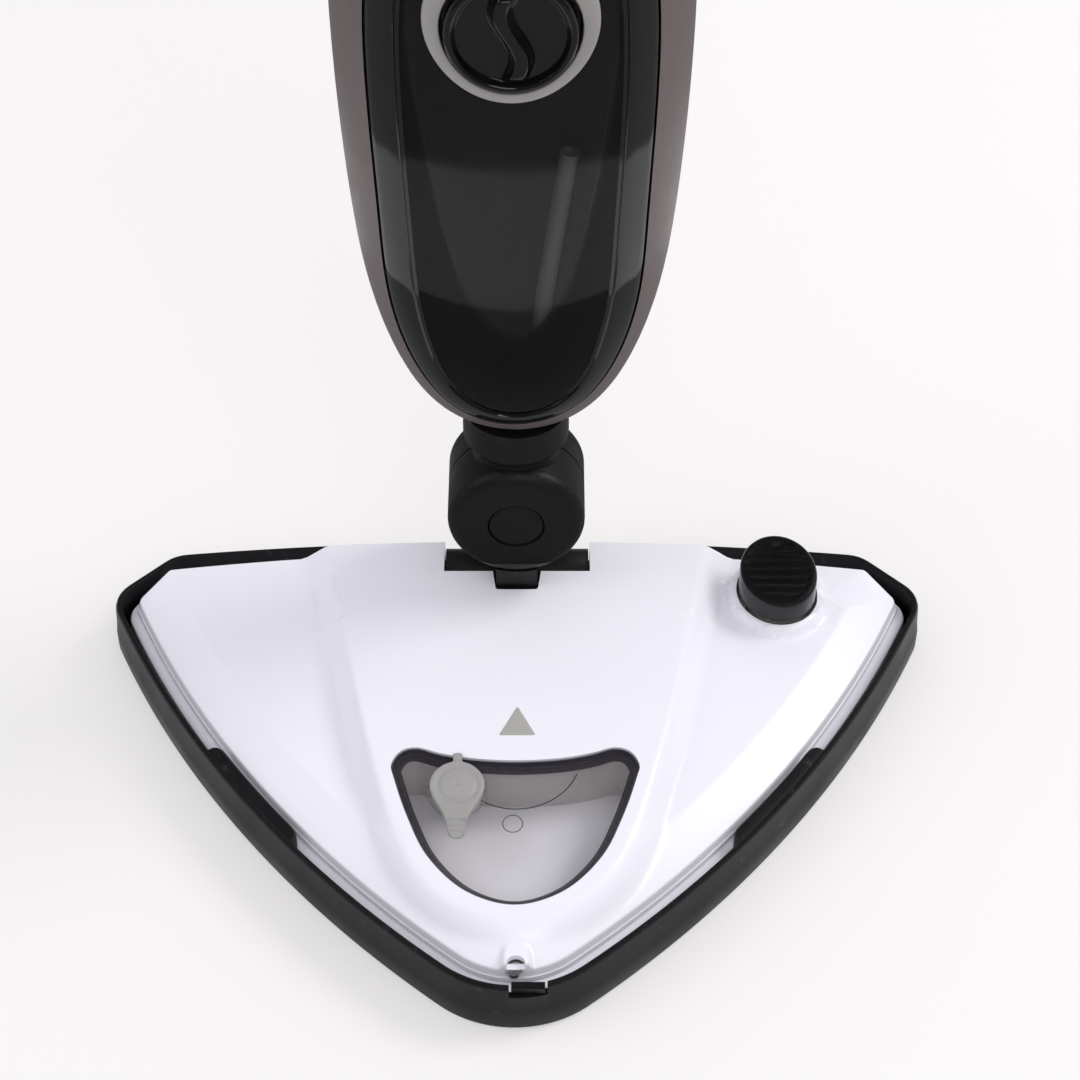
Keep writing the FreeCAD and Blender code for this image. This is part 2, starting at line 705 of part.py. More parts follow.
def housing():
    shell = unit_outer.cut(unit_inner)
    shell = shell.cut(tank_prism(-window_gap, -90, tank_back_y + 8))
    shell = shell.fuse(rod(socket_radius, (0, 0, unit_z), (0, 0, unit_z + plug_tube_length + 4)))
    shell = shell.cut(rod(plug_tube_radius + running_gap,
                          (0, 0, unit_z - 1), (0, 0, unit_z + plug_tube_length + 5)))
    for y, z in boss_places:
        boss = rod(3.5, (-60, y, z), (60, y, z)).common(unit_outer)
        shell = shell.fuse(boss).cut(rod(screw_radius, (-12, y, z), (12, y, z)))
    shell = shell.cut(rod(pole_radius + 2.6, (0, 0, pole_foot), (0, 0, unit_top + 1)))
    shell = shell.cut(rod(gland_radius - 2, (0, 20, gland_z), (0, 80, gland_z)))
    shell = shell.cut(rod(light_radius, (0, -60, light_z), (0, -20, light_z)))
    return shell.cut(rod(latch_radius + running_gap + 0.2, (0, -60, latch_z), (0, 0, latch_z)))


whole_housing = housing()


def housing_left():
    return whole_housing.common(box(-90, 0, -90, 90, 0, 900))


def housing_right():
    return whole_housing.common(box(0, 90, -90, 90, 0, 900))


def tank_front():
    """Smoked front shell of the water tank, open at the back, with the filler mouth."""
    outer = unit_outer.common(tank_prism(0, -90, tank_back_y - tank_wall))
    inner = unit_solid(tank_wall).common(tank_prism(tank_wall, -90, tank_back_y))
    shell = outer.cut(inner)
    mouth = tube(filler_neck + 2, filler_neck, (0, -unit_front + 1, cap_z), (0, -unit_front + 9, cap_z))
    shell = shell.fuse(mouth.common(unit_outer))
    return shell.cut(rod(filler_neck, (0, -90, cap_z), (0, -unit_front + 9, cap_z))).removeSplitter()


def tank_back():
    plate = tank_prism(0, tank_back_y - tank_wall, tank_back_y)
    outlet = rod(3.0, (fitting_x, tank_back_y - 1, fitting_z), (fitting_x, tank_back_y + 7, fitting_z))
    plate = plate.fuse(outlet)
    return plate.cut(rod(1.5, (fitting_x, -60, fitting_z), (fitting_x, 20, fitting_z))).removeSplitter()




def filler_ring():
    """Light grey trim ring, thicker at its sides, around the filler cap."""
    ring = rod(filler_radius + 6, (0, cap_front + 1.2, cap_z), (0, cap_front + 8, cap_z))
    ring = ring.cut(rod(filler_radius + 0.4, (0, cap_front, cap_z), (0, cap_front + 9, cap_z)))
    return ring.cut(unit_outer)


def filler_cap():
    """Screw cap with a raised grip across it."""
    disc = rod(filler_radius, (0, cap_front - 0.5, cap_z), (0, cap_front + cap_thickness - 4.2, cap_z))
    grip = box(-2.2, 2.2, cap_front - 5, cap_front, cap_z - 15, cap_z + 15)
    neck = rod(filler_neck - 0.4, (0, cap_front, cap_z), (0, cap_front + 9, cap_z))
    neck = neck.cut(rod(filler_neck - 2.6, (0, cap_front + 2.5, cap_z), (0, cap_front + 10, cap_z)))
    return fused([disc, grip, neck])


def cap_seal():
    ring = turned(Part.makeTorus(filler_neck - 2.6, 1.0), 90, axis=(1, 0, 0))
    return moved(ring, y=cap_front + 10, z=cap_z)


def intake_fitting():
    """Brass elbow at the tank's foot."""
    y = tank_back_y - tank_wall
    x = fitting_x
    body = rod(3.4, (x, y - 8, fitting_z), (x, y, fitting_z))
    body = body.fuse(rod(2.4, (x, y - 5.6, fitting_z), (x, y - 5.6, fitting_z + 10)))
    return body.cut(rod(1.4, (x, y - 4, fitting_z), (x, y + 1, fitting_z))).removeSplitter()


def intake_tube():
    y = tank_back_y - tank_wall - 5.6
    top = (fitting_x + 9, y - 1, fitting_z + 92)
    return hose([(fitting_x, y, fitting_z + 10.1), (fitting_x + 0.5, y, fitting_z + 30), top], 3.0, 1.8)




def boiler():
    block = rod(boiler_radius, (0, boiler_y, boiler_z), (0, boiler_y, boiler_z + boiler_length))
    return block.cut(rod(5.0, (0, boiler_y, boiler_z - 1), (0, boiler_y, boiler_z + boiler_length + 1)))


def heating_element():
    top = boiler_z + boiler_length
    core = rod(5.0, (0, boiler_y, boiler_z), (0, boiler_y, top + plate_thickness + 2))
    return core.fuse(rod(1.2, (0, boiler_y, top), (0, boiler_y, top + 14))).removeSplitter()


def carrier(z):
    """A plate across the inside of the housing, cut to its inner wall."""
    plate = unit_inner.common(box(-90, 90, tank_back_y + 8.5, 90, z, z + plate_thickness))
    return plate.cut(rod(5.0, (0, boiler_y, z - 1), (0, boiler_y, z + plate_thickness + 1)))


def lower_carrier():
    plate = carrier(boiler_z - plate_thickness)
    x, y = hose_pass
    return plate.cut(rod(4.3, (x, y, boiler_z - 10), (x, y, boiler_z + 10)))


def upper_carrier():
    plate = carrier(boiler_z + boiler_length)
    z = boiler_z + boiler_length
    return plate.cut(rod(4.0, (-26, 8, z - 1), (-26, 8, z + plate_thickness + 1)))


def water_pump():
    z = boiler_z + boiler_length + plate_thickness
    body = box(8, 38, 2, 30, z, z + 26)
    return body.fuse(rod(9.0, (23, 16, z + 26), (23, 16, z + 44))).removeSplitter()


def thermostat():
    z = boiler_z + boiler_length + plate_thickness
    return rod(7.0, (-5, boiler_y + 18, z), (-5, boiler_y + 18, z + 7))


def inlet_hose():
    """Silicone hose from the tank's foot up to the pump."""
    x, y = hose_pass
    path = [(fitting_x, tank_back_y + 3, fitting_z), (fitting_x, tank_back_y + 14, fitting_z),
            (24, 4, fitting_z + 9), (x, y, boiler_z - 12), (x, y, boiler_z + boiler_length - 0.1)]
    return hose(path, 4.0, 3.0)


def feed_hose():
    """Hose from the pump down to the boiler."""
    z = boiler_z + boiler_length + plate_thickness
    return hose([(7.9, 20, z + 18), (-6, 20, z + 18), (-20, 20, z + 16), (-20, 20, z + 0.1)], 3.5, 2.2)


def steam_hose():
    """Braided hose from the boiler's foot to the steam spigot."""
    low = unit_z + plug_tube_length + 11
    path = [(12, boiler_y, boiler_z - plate_thickness - 0.1), (12, boiler_y, boiler_z - 11),
            (0, 0, low + 9), (0, 0, low)]
    return hose(path, 3.0, 1.9)


def steam_spigot():
    """Steam nozzle that closes the unit's socket and reaches down into the neck's tube."""
    top = unit_z + plug_tube_length + 4
    cap = rod(socket_radius, (0, 0, top), (0, 0, top + 3))
    nozzle = rod(steam_bore - 0.3, (0, 0, top - 14), (0, 0, top + 7))
    return cap.fuse(nozzle).cut(rod(1.6, (0, 0, top - 20), (0, 0, top + 10))).removeSplitter()


def housing_screws():
    """Screws that hold the halves, heads in the right half's back."""
    return Part.makeCompound([rod(screw_radius, (-12, y, z), (12, y, z)) for y, z in boss_places])


def power_light():
    lens = rod(light_radius, (0, -60, light_z), (0, -20, light_z))
    return lens.common(unit_outer).cut(unit_inner)


def cord_gland():
    """Rubber strain relief boss where the mains cord would enter."""
    y = unit_rear * 0.97
    gland = rod(gland_radius - 2, (0, y - 10, gland_z), (0, y + 3, gland_z))
    gland = gland.fuse(rod(gland_radius, (0, y + 1.5, gland_z), (0, y + 6, gland_z)))
    return gland.cut(rod(cord_hole_radius, (0, y - 20, gland_z), (0, y + 20, gland_z))).removeSplitter()


def microswitch():
    z = pole_foot - 28
    return box(-4, 4, -7, 9, z, z + 14).fuse(box(-1.5, 1.5, -2, 2, z + 13, z + 17)).removeSplitter()


def switch_carrier():
    z = pole_foot - 28 - plate_thickness
    return unit_inner.common(box(-90, 90, -90, 90, z, z + plate_thickness))


# ------------------------------------------------------------------------------------ pole and grip

def pole_collar():
    """Lined socket in the unit's top that holds the pole."""
    ring = tube(pole_radius + 2.6, pole_radius, (0, 0, pole_foot), (0, 0, unit_top + 3))
    lip = tube(pole_radius + 5, pole_radius, (0, 0, unit_top), (0, 0, unit_top + 3))
    floor = tube(pole_radius + 2.6, rod_radius + 1.5, (0, 0, pole_foot - 2.5), (0, 0, pole_foot))
    whole = fused([ring, lip, floor])
    return whole.cut(rod(latch_radius + running_gap, (0, -60, latch_z), (0, 0, latch_z)))


def pole_tube():
    pole = tube(pole_radius, pole_radius - pole_wall, (0, 0, pole_foot), (0, 0, pole_top))
    return pole.cut(rod(latch_radius + running_gap, (0, -60, latch_z), (0, 0, latch_z)))


def pole_latch():
    """Spring button that snaps through the socket into the pole."""
    face = -pole_radius - 9.5
    button = rod(latch_radius, (0, face, latch_z), (0, -pole_radius + 3.2, latch_z))
    flange = rod(latch_radius + 2, (0, -pole_radius + 1.6, latch_z), (0, -pole_radius + 3.2, latch_z))
    bore = rod(latch_radius, (0, face, latch_z), (0, 0, latch_z))
    return button.fuse(flange).common(bore).removeSplitter()


def push_rod():
    return rod(rod_radius, (0, 0, pole_foot - 9.1), (0, 0, trigger_z - 5.2))




def grip_solid(inset):
    levels = [(0.0, 1.0, 0.0), (0.2, 1.03, 0.0), (0.5, 0.92, 2.0), (0.8, 0.98, 5.0), (0.95, 0.86, 7.0),
              (1.0, 0.55, 7.5)]
    wires = []
    for level, share, bow in levels:
        end_inset = {0.0: inset, 1.0: -inset}.get(level, 0)
        z = grip_foot + level * grip_length + end_inset
        half, depth = grip_half_width * share - inset, grip_half_depth * share - inset
        wires.append(moved(section(z, half, depth, depth), y=bow))
    return Part.makeLoft(wires, True)


def grip():
    shell = grip_solid(0).cut(grip_solid(2.2))
    sleeve = tube(pole_radius + 1.8, pole_radius, (0, 0, grip_foot), (0, 0, pole_top))
    shell = shell.fuse(sleeve.common(grip_solid(0)))
    shell = shell.cut(rod(pole_radius, (0, 0, grip_foot - 5), (0, 0, pole_top)))
    slot = trigger_width / 2 + 0.5
    shell = shell.cut(box(-slot, slot, -40, -2, trigger_z - 50, trigger_z + 6))
    bosses = tube(3.4, 1.5, (-11, trigger_pivot_y, trigger_z), (11, trigger_pivot_y, trigger_z))
    bosses = bosses.cut(box(-slot - 0.2, slot + 0.2, -40, 40, 0, 2000))
    shell = shell.fuse(bosses.common(grip_solid(1)))
    bore = rod(1.5, (-11, trigger_pivot_y, trigger_z), (11, trigger_pivot_y, trigger_z))
    return shell.cut(bore).removeSplitter()


whole_grip = grip()


def grip_left():
    return whole_grip.common(box(-60, 0, -60, 60, 0, 2000))


def grip_right():
    return whole_grip.common(box(0, 60, -60, 60, 0, 2000))


def trigger_pin():
    return rod(1.5, (-11, trigger_pivot_y, trigger_z), (11, trigger_pivot_y, trigger_z))


def trigger():
    """Finger lever: hub on the pin, arm over the push rod, paddle in front of the grip."""
    half = trigger_width / 2
    hub = rod(3.4, (-half, trigger_pivot_y, trigger_z), (half, trigger_pivot_y, trigger_z))
    arm = box(-half, half, -20, trigger_pivot_y, trigger_z - 3, trigger_z + 2)
    paddle = box(-half, half, -26, -19, trigger_z - 44, trigger_z + 2)
    foot = [edge for edge in paddle.Edges if edge.BoundBox.XLength > half and edge.BoundBox.YMax < -25]
    paddle = paddle.makeFillet(3.0, foot)
    nose = rod(2.2, (-half, 0, trigger_z - 3), (half, 0, trigger_z - 3))
    whole = fused([hub, arm, paddle, nose])
    bore = rod(1.5 + running_gap, (-20, trigger_pivot_y, trigger_z), (20, trigger_pivot_y, trigger_z))
    return whole.cut(bore)


def hook_clamp():
    """Clamp ring on the pole with the stud that the upper cord hook turns on."""
    ring = tube(pole_radius + 3, pole_radius, (0, 0, hook_height - 14), (0, 0, hook_height + 14))
    stud = rod(4.0, (0, pole_radius, hook_height), (0, pole_radius + 12, hook_height))
    bore = rod(pole_radius, (0, 0, hook_height - 20), (0, 0, hook_height + 20))
    return ring.fuse(stud).cut(bore).removeSplitter()


def hook_arm(y0, z, up):
    """An L-shaped cord hook: hub behind the pole, a post and an upturned finger."""
    hub = rod(8.0, (0, y0, z), (0, y0 + 8, z))
    arm = box(-6, 6, y0 + 1, y0 + 7, min(z, z + up * hook_half_length), max(z, z + up * hook_half_length))
    tip = z + up * hook_half_length
    post = box(-6, 6, y0 + 1, y0 + hook_reach, min(tip, tip - up * 6), max(tip, tip - up * 6))
    lip = box(-6, 6, y0 + hook_reach - 5, y0 + hook_reach, min(tip, tip + up * 14), max(tip, tip + up * 14))
    return fused([hub, arm, post, lip])


def upper_cord_hook():
    y0 = pole_radius + 3.3
    hook = hook_arm(y0, hook_height, 1)
    return hook.cut(rod(4.0 + running_gap, (0, 0, hook_height), (0, 90, hook_height)))


def lower_cord_hook():
    z = unit_z + 0.80 * unit_height
    hook = hook_arm(unit_rear * 0.79, z, -1)
    return hook.cut(unit_outer)


nodes = [carpet_glider, sole_plate, top_cover, detergent_tank, hook_strips, steam_manifold,
         head_hose, hinge_blocks, head_screws, pump_cylinder, pump_hose, spray_nozzle, foot_button,
         pump_piston, pump_spring, tank_plug, swivel_stem, stem_hose, front_barrel, rear_barrel,
         pivot_pin, pivot_cap, neck_collar, neck_seal, pivot_screw, housing_left, housing_right,
         tank_front, tank_back, filler_ring, filler_cap, cap_seal, intake_fitting, intake_tube,
         boiler, heating_element, lower_carrier, upper_carrier, water_pump, thermostat, inlet_hose,
         feed_hose, steam_hose, steam_spigot, housing_screws, power_light, cord_gland, microswitch,
         switch_carrier, pole_collar, pole_tube, pole_latch, push_rod, grip_left, grip_right,
         trigger_pin, trigger, hook_clamp, upper_cord_hook, lower_cord_hook]

for node in nodes:
    node().exportStep("parts/" + node.__name__ + ".step")
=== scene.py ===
"""Looks of an upright steam mop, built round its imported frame. Lengths are in millimetres unless they say
metres; every mesh is brought to metres when it is made."""
import math

import bmesh
import bpy
import numpy as np
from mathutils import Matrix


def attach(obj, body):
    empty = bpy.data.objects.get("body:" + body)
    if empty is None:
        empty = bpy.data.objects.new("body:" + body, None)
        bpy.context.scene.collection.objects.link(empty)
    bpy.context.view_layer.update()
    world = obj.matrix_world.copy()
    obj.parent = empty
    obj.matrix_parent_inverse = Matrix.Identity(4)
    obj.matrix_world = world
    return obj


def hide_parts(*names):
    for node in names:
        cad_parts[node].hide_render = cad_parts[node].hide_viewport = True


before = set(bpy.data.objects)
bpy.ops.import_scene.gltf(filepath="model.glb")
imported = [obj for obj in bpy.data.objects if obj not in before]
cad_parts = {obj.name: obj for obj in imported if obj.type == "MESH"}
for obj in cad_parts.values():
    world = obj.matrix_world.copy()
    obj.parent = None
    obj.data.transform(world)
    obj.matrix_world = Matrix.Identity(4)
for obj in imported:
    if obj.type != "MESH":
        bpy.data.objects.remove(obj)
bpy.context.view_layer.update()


# ------------------------------------------------------------------------------------------ studio
# A pale seamless floor in soft studio light: a large soft box on the right, weaker ones on the left
# and in front, a pale surround for the shadows, and a long lens that looks down on the head at 45 degrees.

camera_data = bpy.data.cameras.new("camera")
camera_data.lens, camera_data.sensor_width, camera_data.clip_end = 90.0, 36.0, 20.0
camera = bpy.data.objects.new("camera", camera_data)
camera.location = (0.00853, -0.70690, 0.74630)
camera.rotation_euler = (math.radians(45), 0, 0)
bpy.context.scene.collection.objects.link(camera)
bpy.context.scene.camera = camera
bpy.context.scene.view_settings.view_transform = "Standard"


def soft_box(name, place, aim, size, watts, colour):
    """A rectangular area light, in metres, that faces the point it aims at."""
    light = bpy.data.lights.new(name, "AREA")
    light.shape, light.size, light.size_y = "RECTANGLE", size[0], size[1]
    light.energy, light.color = watts, colour
    lamp = bpy.data.objects.new(name, light)
    bpy.context.scene.collection.objects.link(lamp)
    away = np.array(place) - np.array(aim)
    yaw = math.atan2(away[0], -away[1])
    pitch = math.atan2(math.hypot(away[0], away[1]), away[2])
    lamp.location, lamp.rotation_euler = place, (pitch, 0, yaw)


soft_box("right_light", (1.7, 0.55, 1.75), (0, -0.05, 0.05), (0.9, 0.9), 22, (1.0, 0.985, 0.97))
soft_box("left_light", (-1.7, -0.2, 1.6), (0, 0, 0.1), (1.4, 1.4), 7, (0.97, 0.98, 1.0))
soft_box("front_light", (0.5, -2.0, 2.2), (0, 0, 0.2), (1.6, 1.2), 13, (1.0, 1.0, 1.0))

backdrop_colour = (0.940, 0.922, 0.914, 1)


def new_material(name):
    """A material with its nodes and links."""
    material = bpy.data.materials.new(name)
    material.use_nodes = True
    return material, material.node_tree.nodes, material.node_tree.links


def own_light(nodes, links, share):
    """How much of a backdrop is its own even light: the share for the camera and through clear plastic."""
    path = nodes.new("ShaderNodeLightPath")
    seen, part = nodes.new("ShaderNodeMath"), nodes.new("ShaderNodeMath")
    seen.operation, part.operation = "MAXIMUM", "MULTIPLY"
    links.new(path.outputs["Is Camera Ray"], seen.inputs[0])
    links.new(path.outputs["Is Transmission Ray"], seen.inputs[1])
    links.new(seen.outputs[0], part.inputs[0])
    part.inputs[1].default_value = share
    return part.outputs[0]


def studio_surround():
    """The surround: an even backdrop for the camera, a soft light for the rest, dim in mirror images."""
    world = bpy.data.worlds.new("surround")
    bpy.context.scene.world = world
    world.use_nodes = True
    nodes, links = world.node_tree.nodes, world.node_tree.links
    seen, lit, mix = nodes["Background"], nodes.new("ShaderNodeBackground"), nodes.new("ShaderNodeMixShader")
    seen.inputs["Color"].default_value = backdrop_colour
    lit.inputs["Color"].default_value = (0.93, 0.94, 1.0, 1)
    mirrored, strength = nodes.new("ShaderNodeLightPath"), nodes.new("ShaderNodeMapRange")
    strength.inputs["To Min"].default_value, strength.inputs["To Max"].default_value = 0.80, 0.12
    links.new(mirrored.outputs["Is Glossy Ray"], strength.inputs["Value"])
    links.new(strength.outputs[0], lit.inputs["Strength"])
    links.new(own_light(nodes, links, 1.0), mix.inputs[0])
    links.new(lit.outputs[0], mix.inputs[1])
    links.new(seen.outputs[0], mix.inputs[2])
    links.new(mix.outputs[0], nodes["World Output"].inputs[0])


def floor_material():
    """Matt paper: part of its light is its own for the camera, so it reads as near white."""
    material, nodes, links = new_material("floor_paper")
    paper = nodes["Principled BSDF"]
    own, mix = nodes.new("ShaderNodeEmission"), nodes.new("ShaderNodeMixShader")
    paper.inputs["Base Color"].default_value = (0.86, 0.835, 0.825, 1)
    paper.inputs["Roughness"].default_value = 0.8
    own.inputs["Color"].default_value = backdrop_colour
    own.inputs["Strength"].default_value = 1.02
    links.new(own_light(nodes, links, 0.40), mix.inputs[0])
    links.new(paper.outputs[0], mix.inputs[1])
    links.new(own.outputs[0], mix.inputs[2])
    links.new(mix.outputs[0], nodes["Material Output"].inputs[0])
    return material


studio_surround()
floor_half, floor_drop = 6.0, 0.0003
floor_mesh = bpy.data.meshes.new("floor")
floor_signs = ((-1, -1), (1, -1), (1, 1), (-1, 1))
floor_corners = [(x * floor_half, y * floor_half, -floor_drop) for x, y in floor_signs]
floor_mesh.from_pydata(floor_corners, [], [(0, 1, 2, 3)])
floor = bpy.data.objects.new("floor", floor_mesh)
bpy.context.scene.collection.objects.link(floor)
floor_mesh.materials.append(floor_material())


# ----------------------------------------------------------------------------------- carpet glider
# A black ABS tray that the steam head stands in: an upright rim with a faint crease, a ledge under the
# sole, a gap at the rear for the swivel, a notch for the nose catch and two hooks over the sole's flange.

def arc(centre, radius, start, end, count):
    """Points on a circle from one angle to another, in radians."""
    angle = np.linspace(start, end, count)
    return np.stack([centre[0] + radius * np.cos(angle), centre[1] + radius * np.sin(angle)], 1)


side_radius, nose_radius, corner_radius = 430.0, 40.0, 14.0
corner_ease, ease_start, ease_run = 3.2, 4.8, 4.0
deep_cut, deep_start = 0.45, 12.0
rear_crown, rear_half, rear_y = 7.0, 126.5, 19.0
rear_radius = (rear_half ** 2 + rear_crown ** 2) / (2 * rear_crown)
rear_centre = np.array([0.0, rear_y - rear_radius])
cut_corner = np.array([152.5, -11.0])
nose_centre = np.array([0.0, nose_radius - 189.5])
nose_to_corner = cut_corner - nose_centre
corner_span = np.linalg.norm(nose_to_corner)
along_span = (corner_span ** 2 + (side_radius - nose_radius) ** 2 - side_radius ** 2) / (2 * corner_span)
across_span = math.sqrt((side_radius - nose_radius) ** 2 - along_span ** 2)
side_centre = nose_centre + (nose_to_corner * along_span
                             + np.array([-nose_to_corner[1], nose_to_corner[0]]) * across_span) / corner_span


def head_outline(inset, density=1.0):
    """Closed loop of the head's outline moved in by the inset, all in arcs: rear edge, the two rounded
    corners of the cut-off corner, long side and nose, then the same mirrored. From the sole's edge in, the
    cut moves out by the ease, and far inside it deepens so that its two ends never meet. Loops of any
    inset have the same number of points, so they join as a grid."""
    rounding = max(corner_radius - inset, 0.3)
    shift = inset + rounding
    eased = corner_ease * min(max((inset - ease_start) / ease_run, 0), 1)
    cut_shift = shift - eased + deep_cut * max(inset - deep_start, 0)
    normal, run = np.array([1.0, 1.0]) / math.sqrt(2), np.array([1.0, -1.0]) / math.sqrt(2)
    reach = normal @ cut_corner - cut_shift

    def crossing(centre, radius, way):
        offset = reach - normal @ centre
        return centre + normal * offset + way * run * math.sqrt(radius ** 2 - offset ** 2)

    def angle_of(point, centre):
        return math.atan2(point[1] - centre[1], point[0] - centre[0])

    first = crossing(rear_centre, rear_radius - shift, -1)
    second = crossing(side_centre, side_radius - shift, 1)
    turns = [angle_of(first, rear_centre), angle_of(second, side_centre), angle_of(nose_centre, side_centre)]
    counts = [max(3, round(density * count)) for count in (44, 5, 7, 92, 18)]
    right = np.concatenate([
        arc(rear_centre, rear_radius - inset, math.pi / 2, turns[0], counts[0])[:-1],
        arc(first, rounding, turns[0], math.pi / 4, counts[1]),
        arc(second, rounding, math.pi / 4, turns[1], counts[2])[:-1],
        arc(side_centre, side_radius - inset, turns[1], turns[2], counts[3])[:-1],
        arc(nose_centre, nose_radius - inset, turns[2], -math.pi / 2, counts[4])])
    return np.concatenate([right, right[-2:0:-1] * [-1, 1]])


def grid_faces(rows, columns, close_rows=False, close_columns=True):
    """Quads between neighbouring points of a grid kept row by row, wrapped round where it closes."""
    row = np.arange(rows if close_rows else rows - 1)[:, None]
    column = np.arange(columns if close_columns else columns - 1)[None, :]
    next_row, next_column = (row + 1) % rows, (column + 1) % columns
    quads = np.stack([row * columns + column, row * columns + next_column,
                      next_row * columns + next_column, next_row * columns + column], -1)
    return quads.reshape(-1, 4).tolist()


def mesh_piece(name, points, faces, material, sharp=38):
    """A mesh object from points in millimetres, facing outwards, smooth but for its sharp edges."""
    mesh = bpy.data.meshes.new(name)
    mesh.from_pydata((np.asarray(points, float).reshape(-1, 3) * 0.001).tolist(), [], faces)
    mesh.validate()
    shape = bmesh.new()
    shape.from_mesh(mesh)
    bmesh.ops.remove_doubles(shape, verts=shape.verts, dist=0.000001)
    bmesh.ops.recalc_face_normals(shape, faces=shape.faces)
    shape.to_mesh(mesh)
    shape.free()
    finish_mesh(mesh, sharp)
    mesh.materials.append(material)
    made = bpy.data.objects.new(name, mesh)
    bpy.context.scene.collection.objects.link(made)
    return made


def finish_mesh(mesh, sharp):
    """Smooth shading with creases where faces meet at more than the sharp angle, in degrees."""
    mesh.shade_smooth()
    mesh.set_sharp_from_angle(angle=math.radians(sharp))


def fit(made, body, slot, *replaced):
    """Hangs a finished piece on its body and hides the imported parts it stands for. The slot, which would
    name its finish, is not used.
    """
    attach(made, body)
    if replaced:
        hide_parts(*replaced)
    return made


def raised(loop, height):
    """Points in space over plan points, at one height or one for each."""
    return np.concatenate([loop, np.broadcast_to(np.reshape(height, (-1, 1)), (len(loop), 1))], 1)


def capped(rows, columns):
    """Faces of a tube of rows whose two ends are closed by one face each."""
    last = (rows - 1) * columns
    return grid_faces(rows, columns) + [list(range(columns)), list(range(last, last + columns))]


def prism(name, loop, low, high):
    """A closed upright prism over a plan loop, used to cut with."""
    return mesh_piece(name, [raised(loop, low), raised(loop, high)], capped(2, len(loop)), cutter_material)


def cut_out(target, cutters, sharp=38):
    """Cuts closed meshes out of a closed piece and keeps the result as its mesh."""
    for cutter in cutters:
        step = target.modifiers.new("cut", "BOOLEAN")
        step.operation, step.object, step.solver = "DIFFERENCE", cutter, "MANIFOLD"
    bpy.context.view_layer.update()
    whole = target.evaluated_get(bpy.context.evaluated_depsgraph_get())
    mesh = bpy.data.meshes.new_from_object(whole)
    target.modifiers.clear()
    target.data = mesh
    finish_mesh(mesh, sharp)
    for cutter in cutters:
        bpy.data.objects.remove(cutter)
    return target


def rectangle(x0, x1, y0, y1):
    """The corners of a plan rectangle."""
    return np.array([(x0, y0), (x1, y0), (x1, y1), (x0, y1)], float)


def moulded_plastic(name, colour, rough, grain, grain_scale, mottle=0.1, worn=0.0,
                    worn_colour=(0.3, 0.3, 0.3), coat=0.0, uneven=0.18, gloss=0.5):
    """Moulded plastic: fine spark-eroded grain, broad patches of sheen and tone, and pale rubbed spots."""
    material, nodes, links = new_material(name)
    shader, place = nodes["Principled BSDF"], nodes.new("ShaderNodeTexCoord")

    def noise(scale, detail):
        texture = nodes.new("ShaderNodeTexNoise")
        texture.inputs["Scale"].default_value, texture.inputs["Detail"].default_value = scale, detail
        links.new(place.outputs["Object"], texture.inputs["Vector"])
        return texture.outputs["Fac"]

    def spread(value, low, high, start=0.3, end=0.7):
        step = nodes.new("ShaderNodeMapRange")
        for socket, number in zip(("From Min", "From Max", "To Min", "To Max"), (start, end, low, high)):
            step.inputs[socket].default_value = number
        links.new(value, step.inputs["Value"])
        return step.outputs[0]

    def mixed(factor, first, second):
        mix = nodes.new("ShaderNodeMix")
        mix.data_type = "RGBA"
        links.new(factor, mix.inputs["Factor"])
        for socket, source in (("A", first), ("B", second)):
            if isinstance(source, tuple):
                mix.inputs[socket].default_value = (*source, 1)
            else:
                links.new(source, mix.inputs[socket])
        return mix.outputs["Result"]

    bump = nodes.new("ShaderNodeBump")
    bump.inputs["Strength"].default_value, bump.inputs["Distance"].default_value = grain, 0.0002
    links.new(noise(grain_scale, 3), bump.inputs["Height"])
    links.new(bump.outputs[0], shader.inputs["Normal"])
    patches = noise(38, 5)
    low, high = (tuple(min(1, part * (1 + way * mottle)) for part in colour) for way in (-1, 1))
    tone = mixed(spread(patches, 0, 1), low, high)
    if worn:
        tone = mixed(spread(noise(210, 8), 0, worn, 0.64, 0.76), tone, worn_colour)
    links.new(tone, shader.inputs["Base Color"])
    links.new(spread(patches, rough * (1 - uneven), min(1, rough * (1 + uneven))), shader.inputs["Roughness"])
    shader.inputs["Specular IOR Level"].default_value = gloss
    shader.inputs["Coat Weight"].default_value = coat
    shader.inputs["Coat Roughness"].default_value = 0.12
    return material


cutter_material = bpy.data.materials.new("cutter")
glider_plastic = moulded_plastic("glider_plastic", (0.006, 0.0055, 0.0065), 0.40, 0.3, 900, worn=0.08,
                                 gloss=0.3)
rim_height, ledge_height, ledge_width = 21.0, 3.0, 24.0
flange_z = 13.0

glider_profile = [(0.9, 0.0), (0.3, 0.4), (0.0, 1.2), (0.0, 8.6), (0.25, 9.2), (0.8, 19.4), (1.1, 20.5),
                  (1.7, rim_height), (2.3, rim_height), (2.9, 20.6), (3.1, 19.8), (3.0, 10.0), (3.0, 3.4),
                  (3.5, ledge_height), (ledge_width - 0.8, ledge_height), (ledge_width, 2.4),
                  (ledge_width, 0.5), (ledge_width - 0.6, 0.0), (12.0, 0.0)]
glider_rows = np.stack([raised(head_outline(inset), height) for inset, height in glider_profile])
glider = mesh_piece("glider_tray", glider_rows, grid_faces(*glider_rows.shape[:2], close_rows=True),
                    glider_plastic)
cut_out(glider, [prism("swivel_gap", rectangle(-32.7, 32.7, 5, 26), ledge_height + 2, 30),
                 prism("catch_notch", rectangle(-1.7, 11.0, -196, -177.5), 16.4, 30)])
fit(glider, "glider", "glider", "carpet_glider")
catch_plan, catch_top = rectangle(-0.9, 10.2, -187.2, -184.3), 19.2
catch_rows = np.stack([raised(catch_plan, height) for height in (ledge_height, catch_top)])
fit(mesh_piece("glider_catch", catch_rows, capped(2, 4), glider_plastic), "glider", "glider")

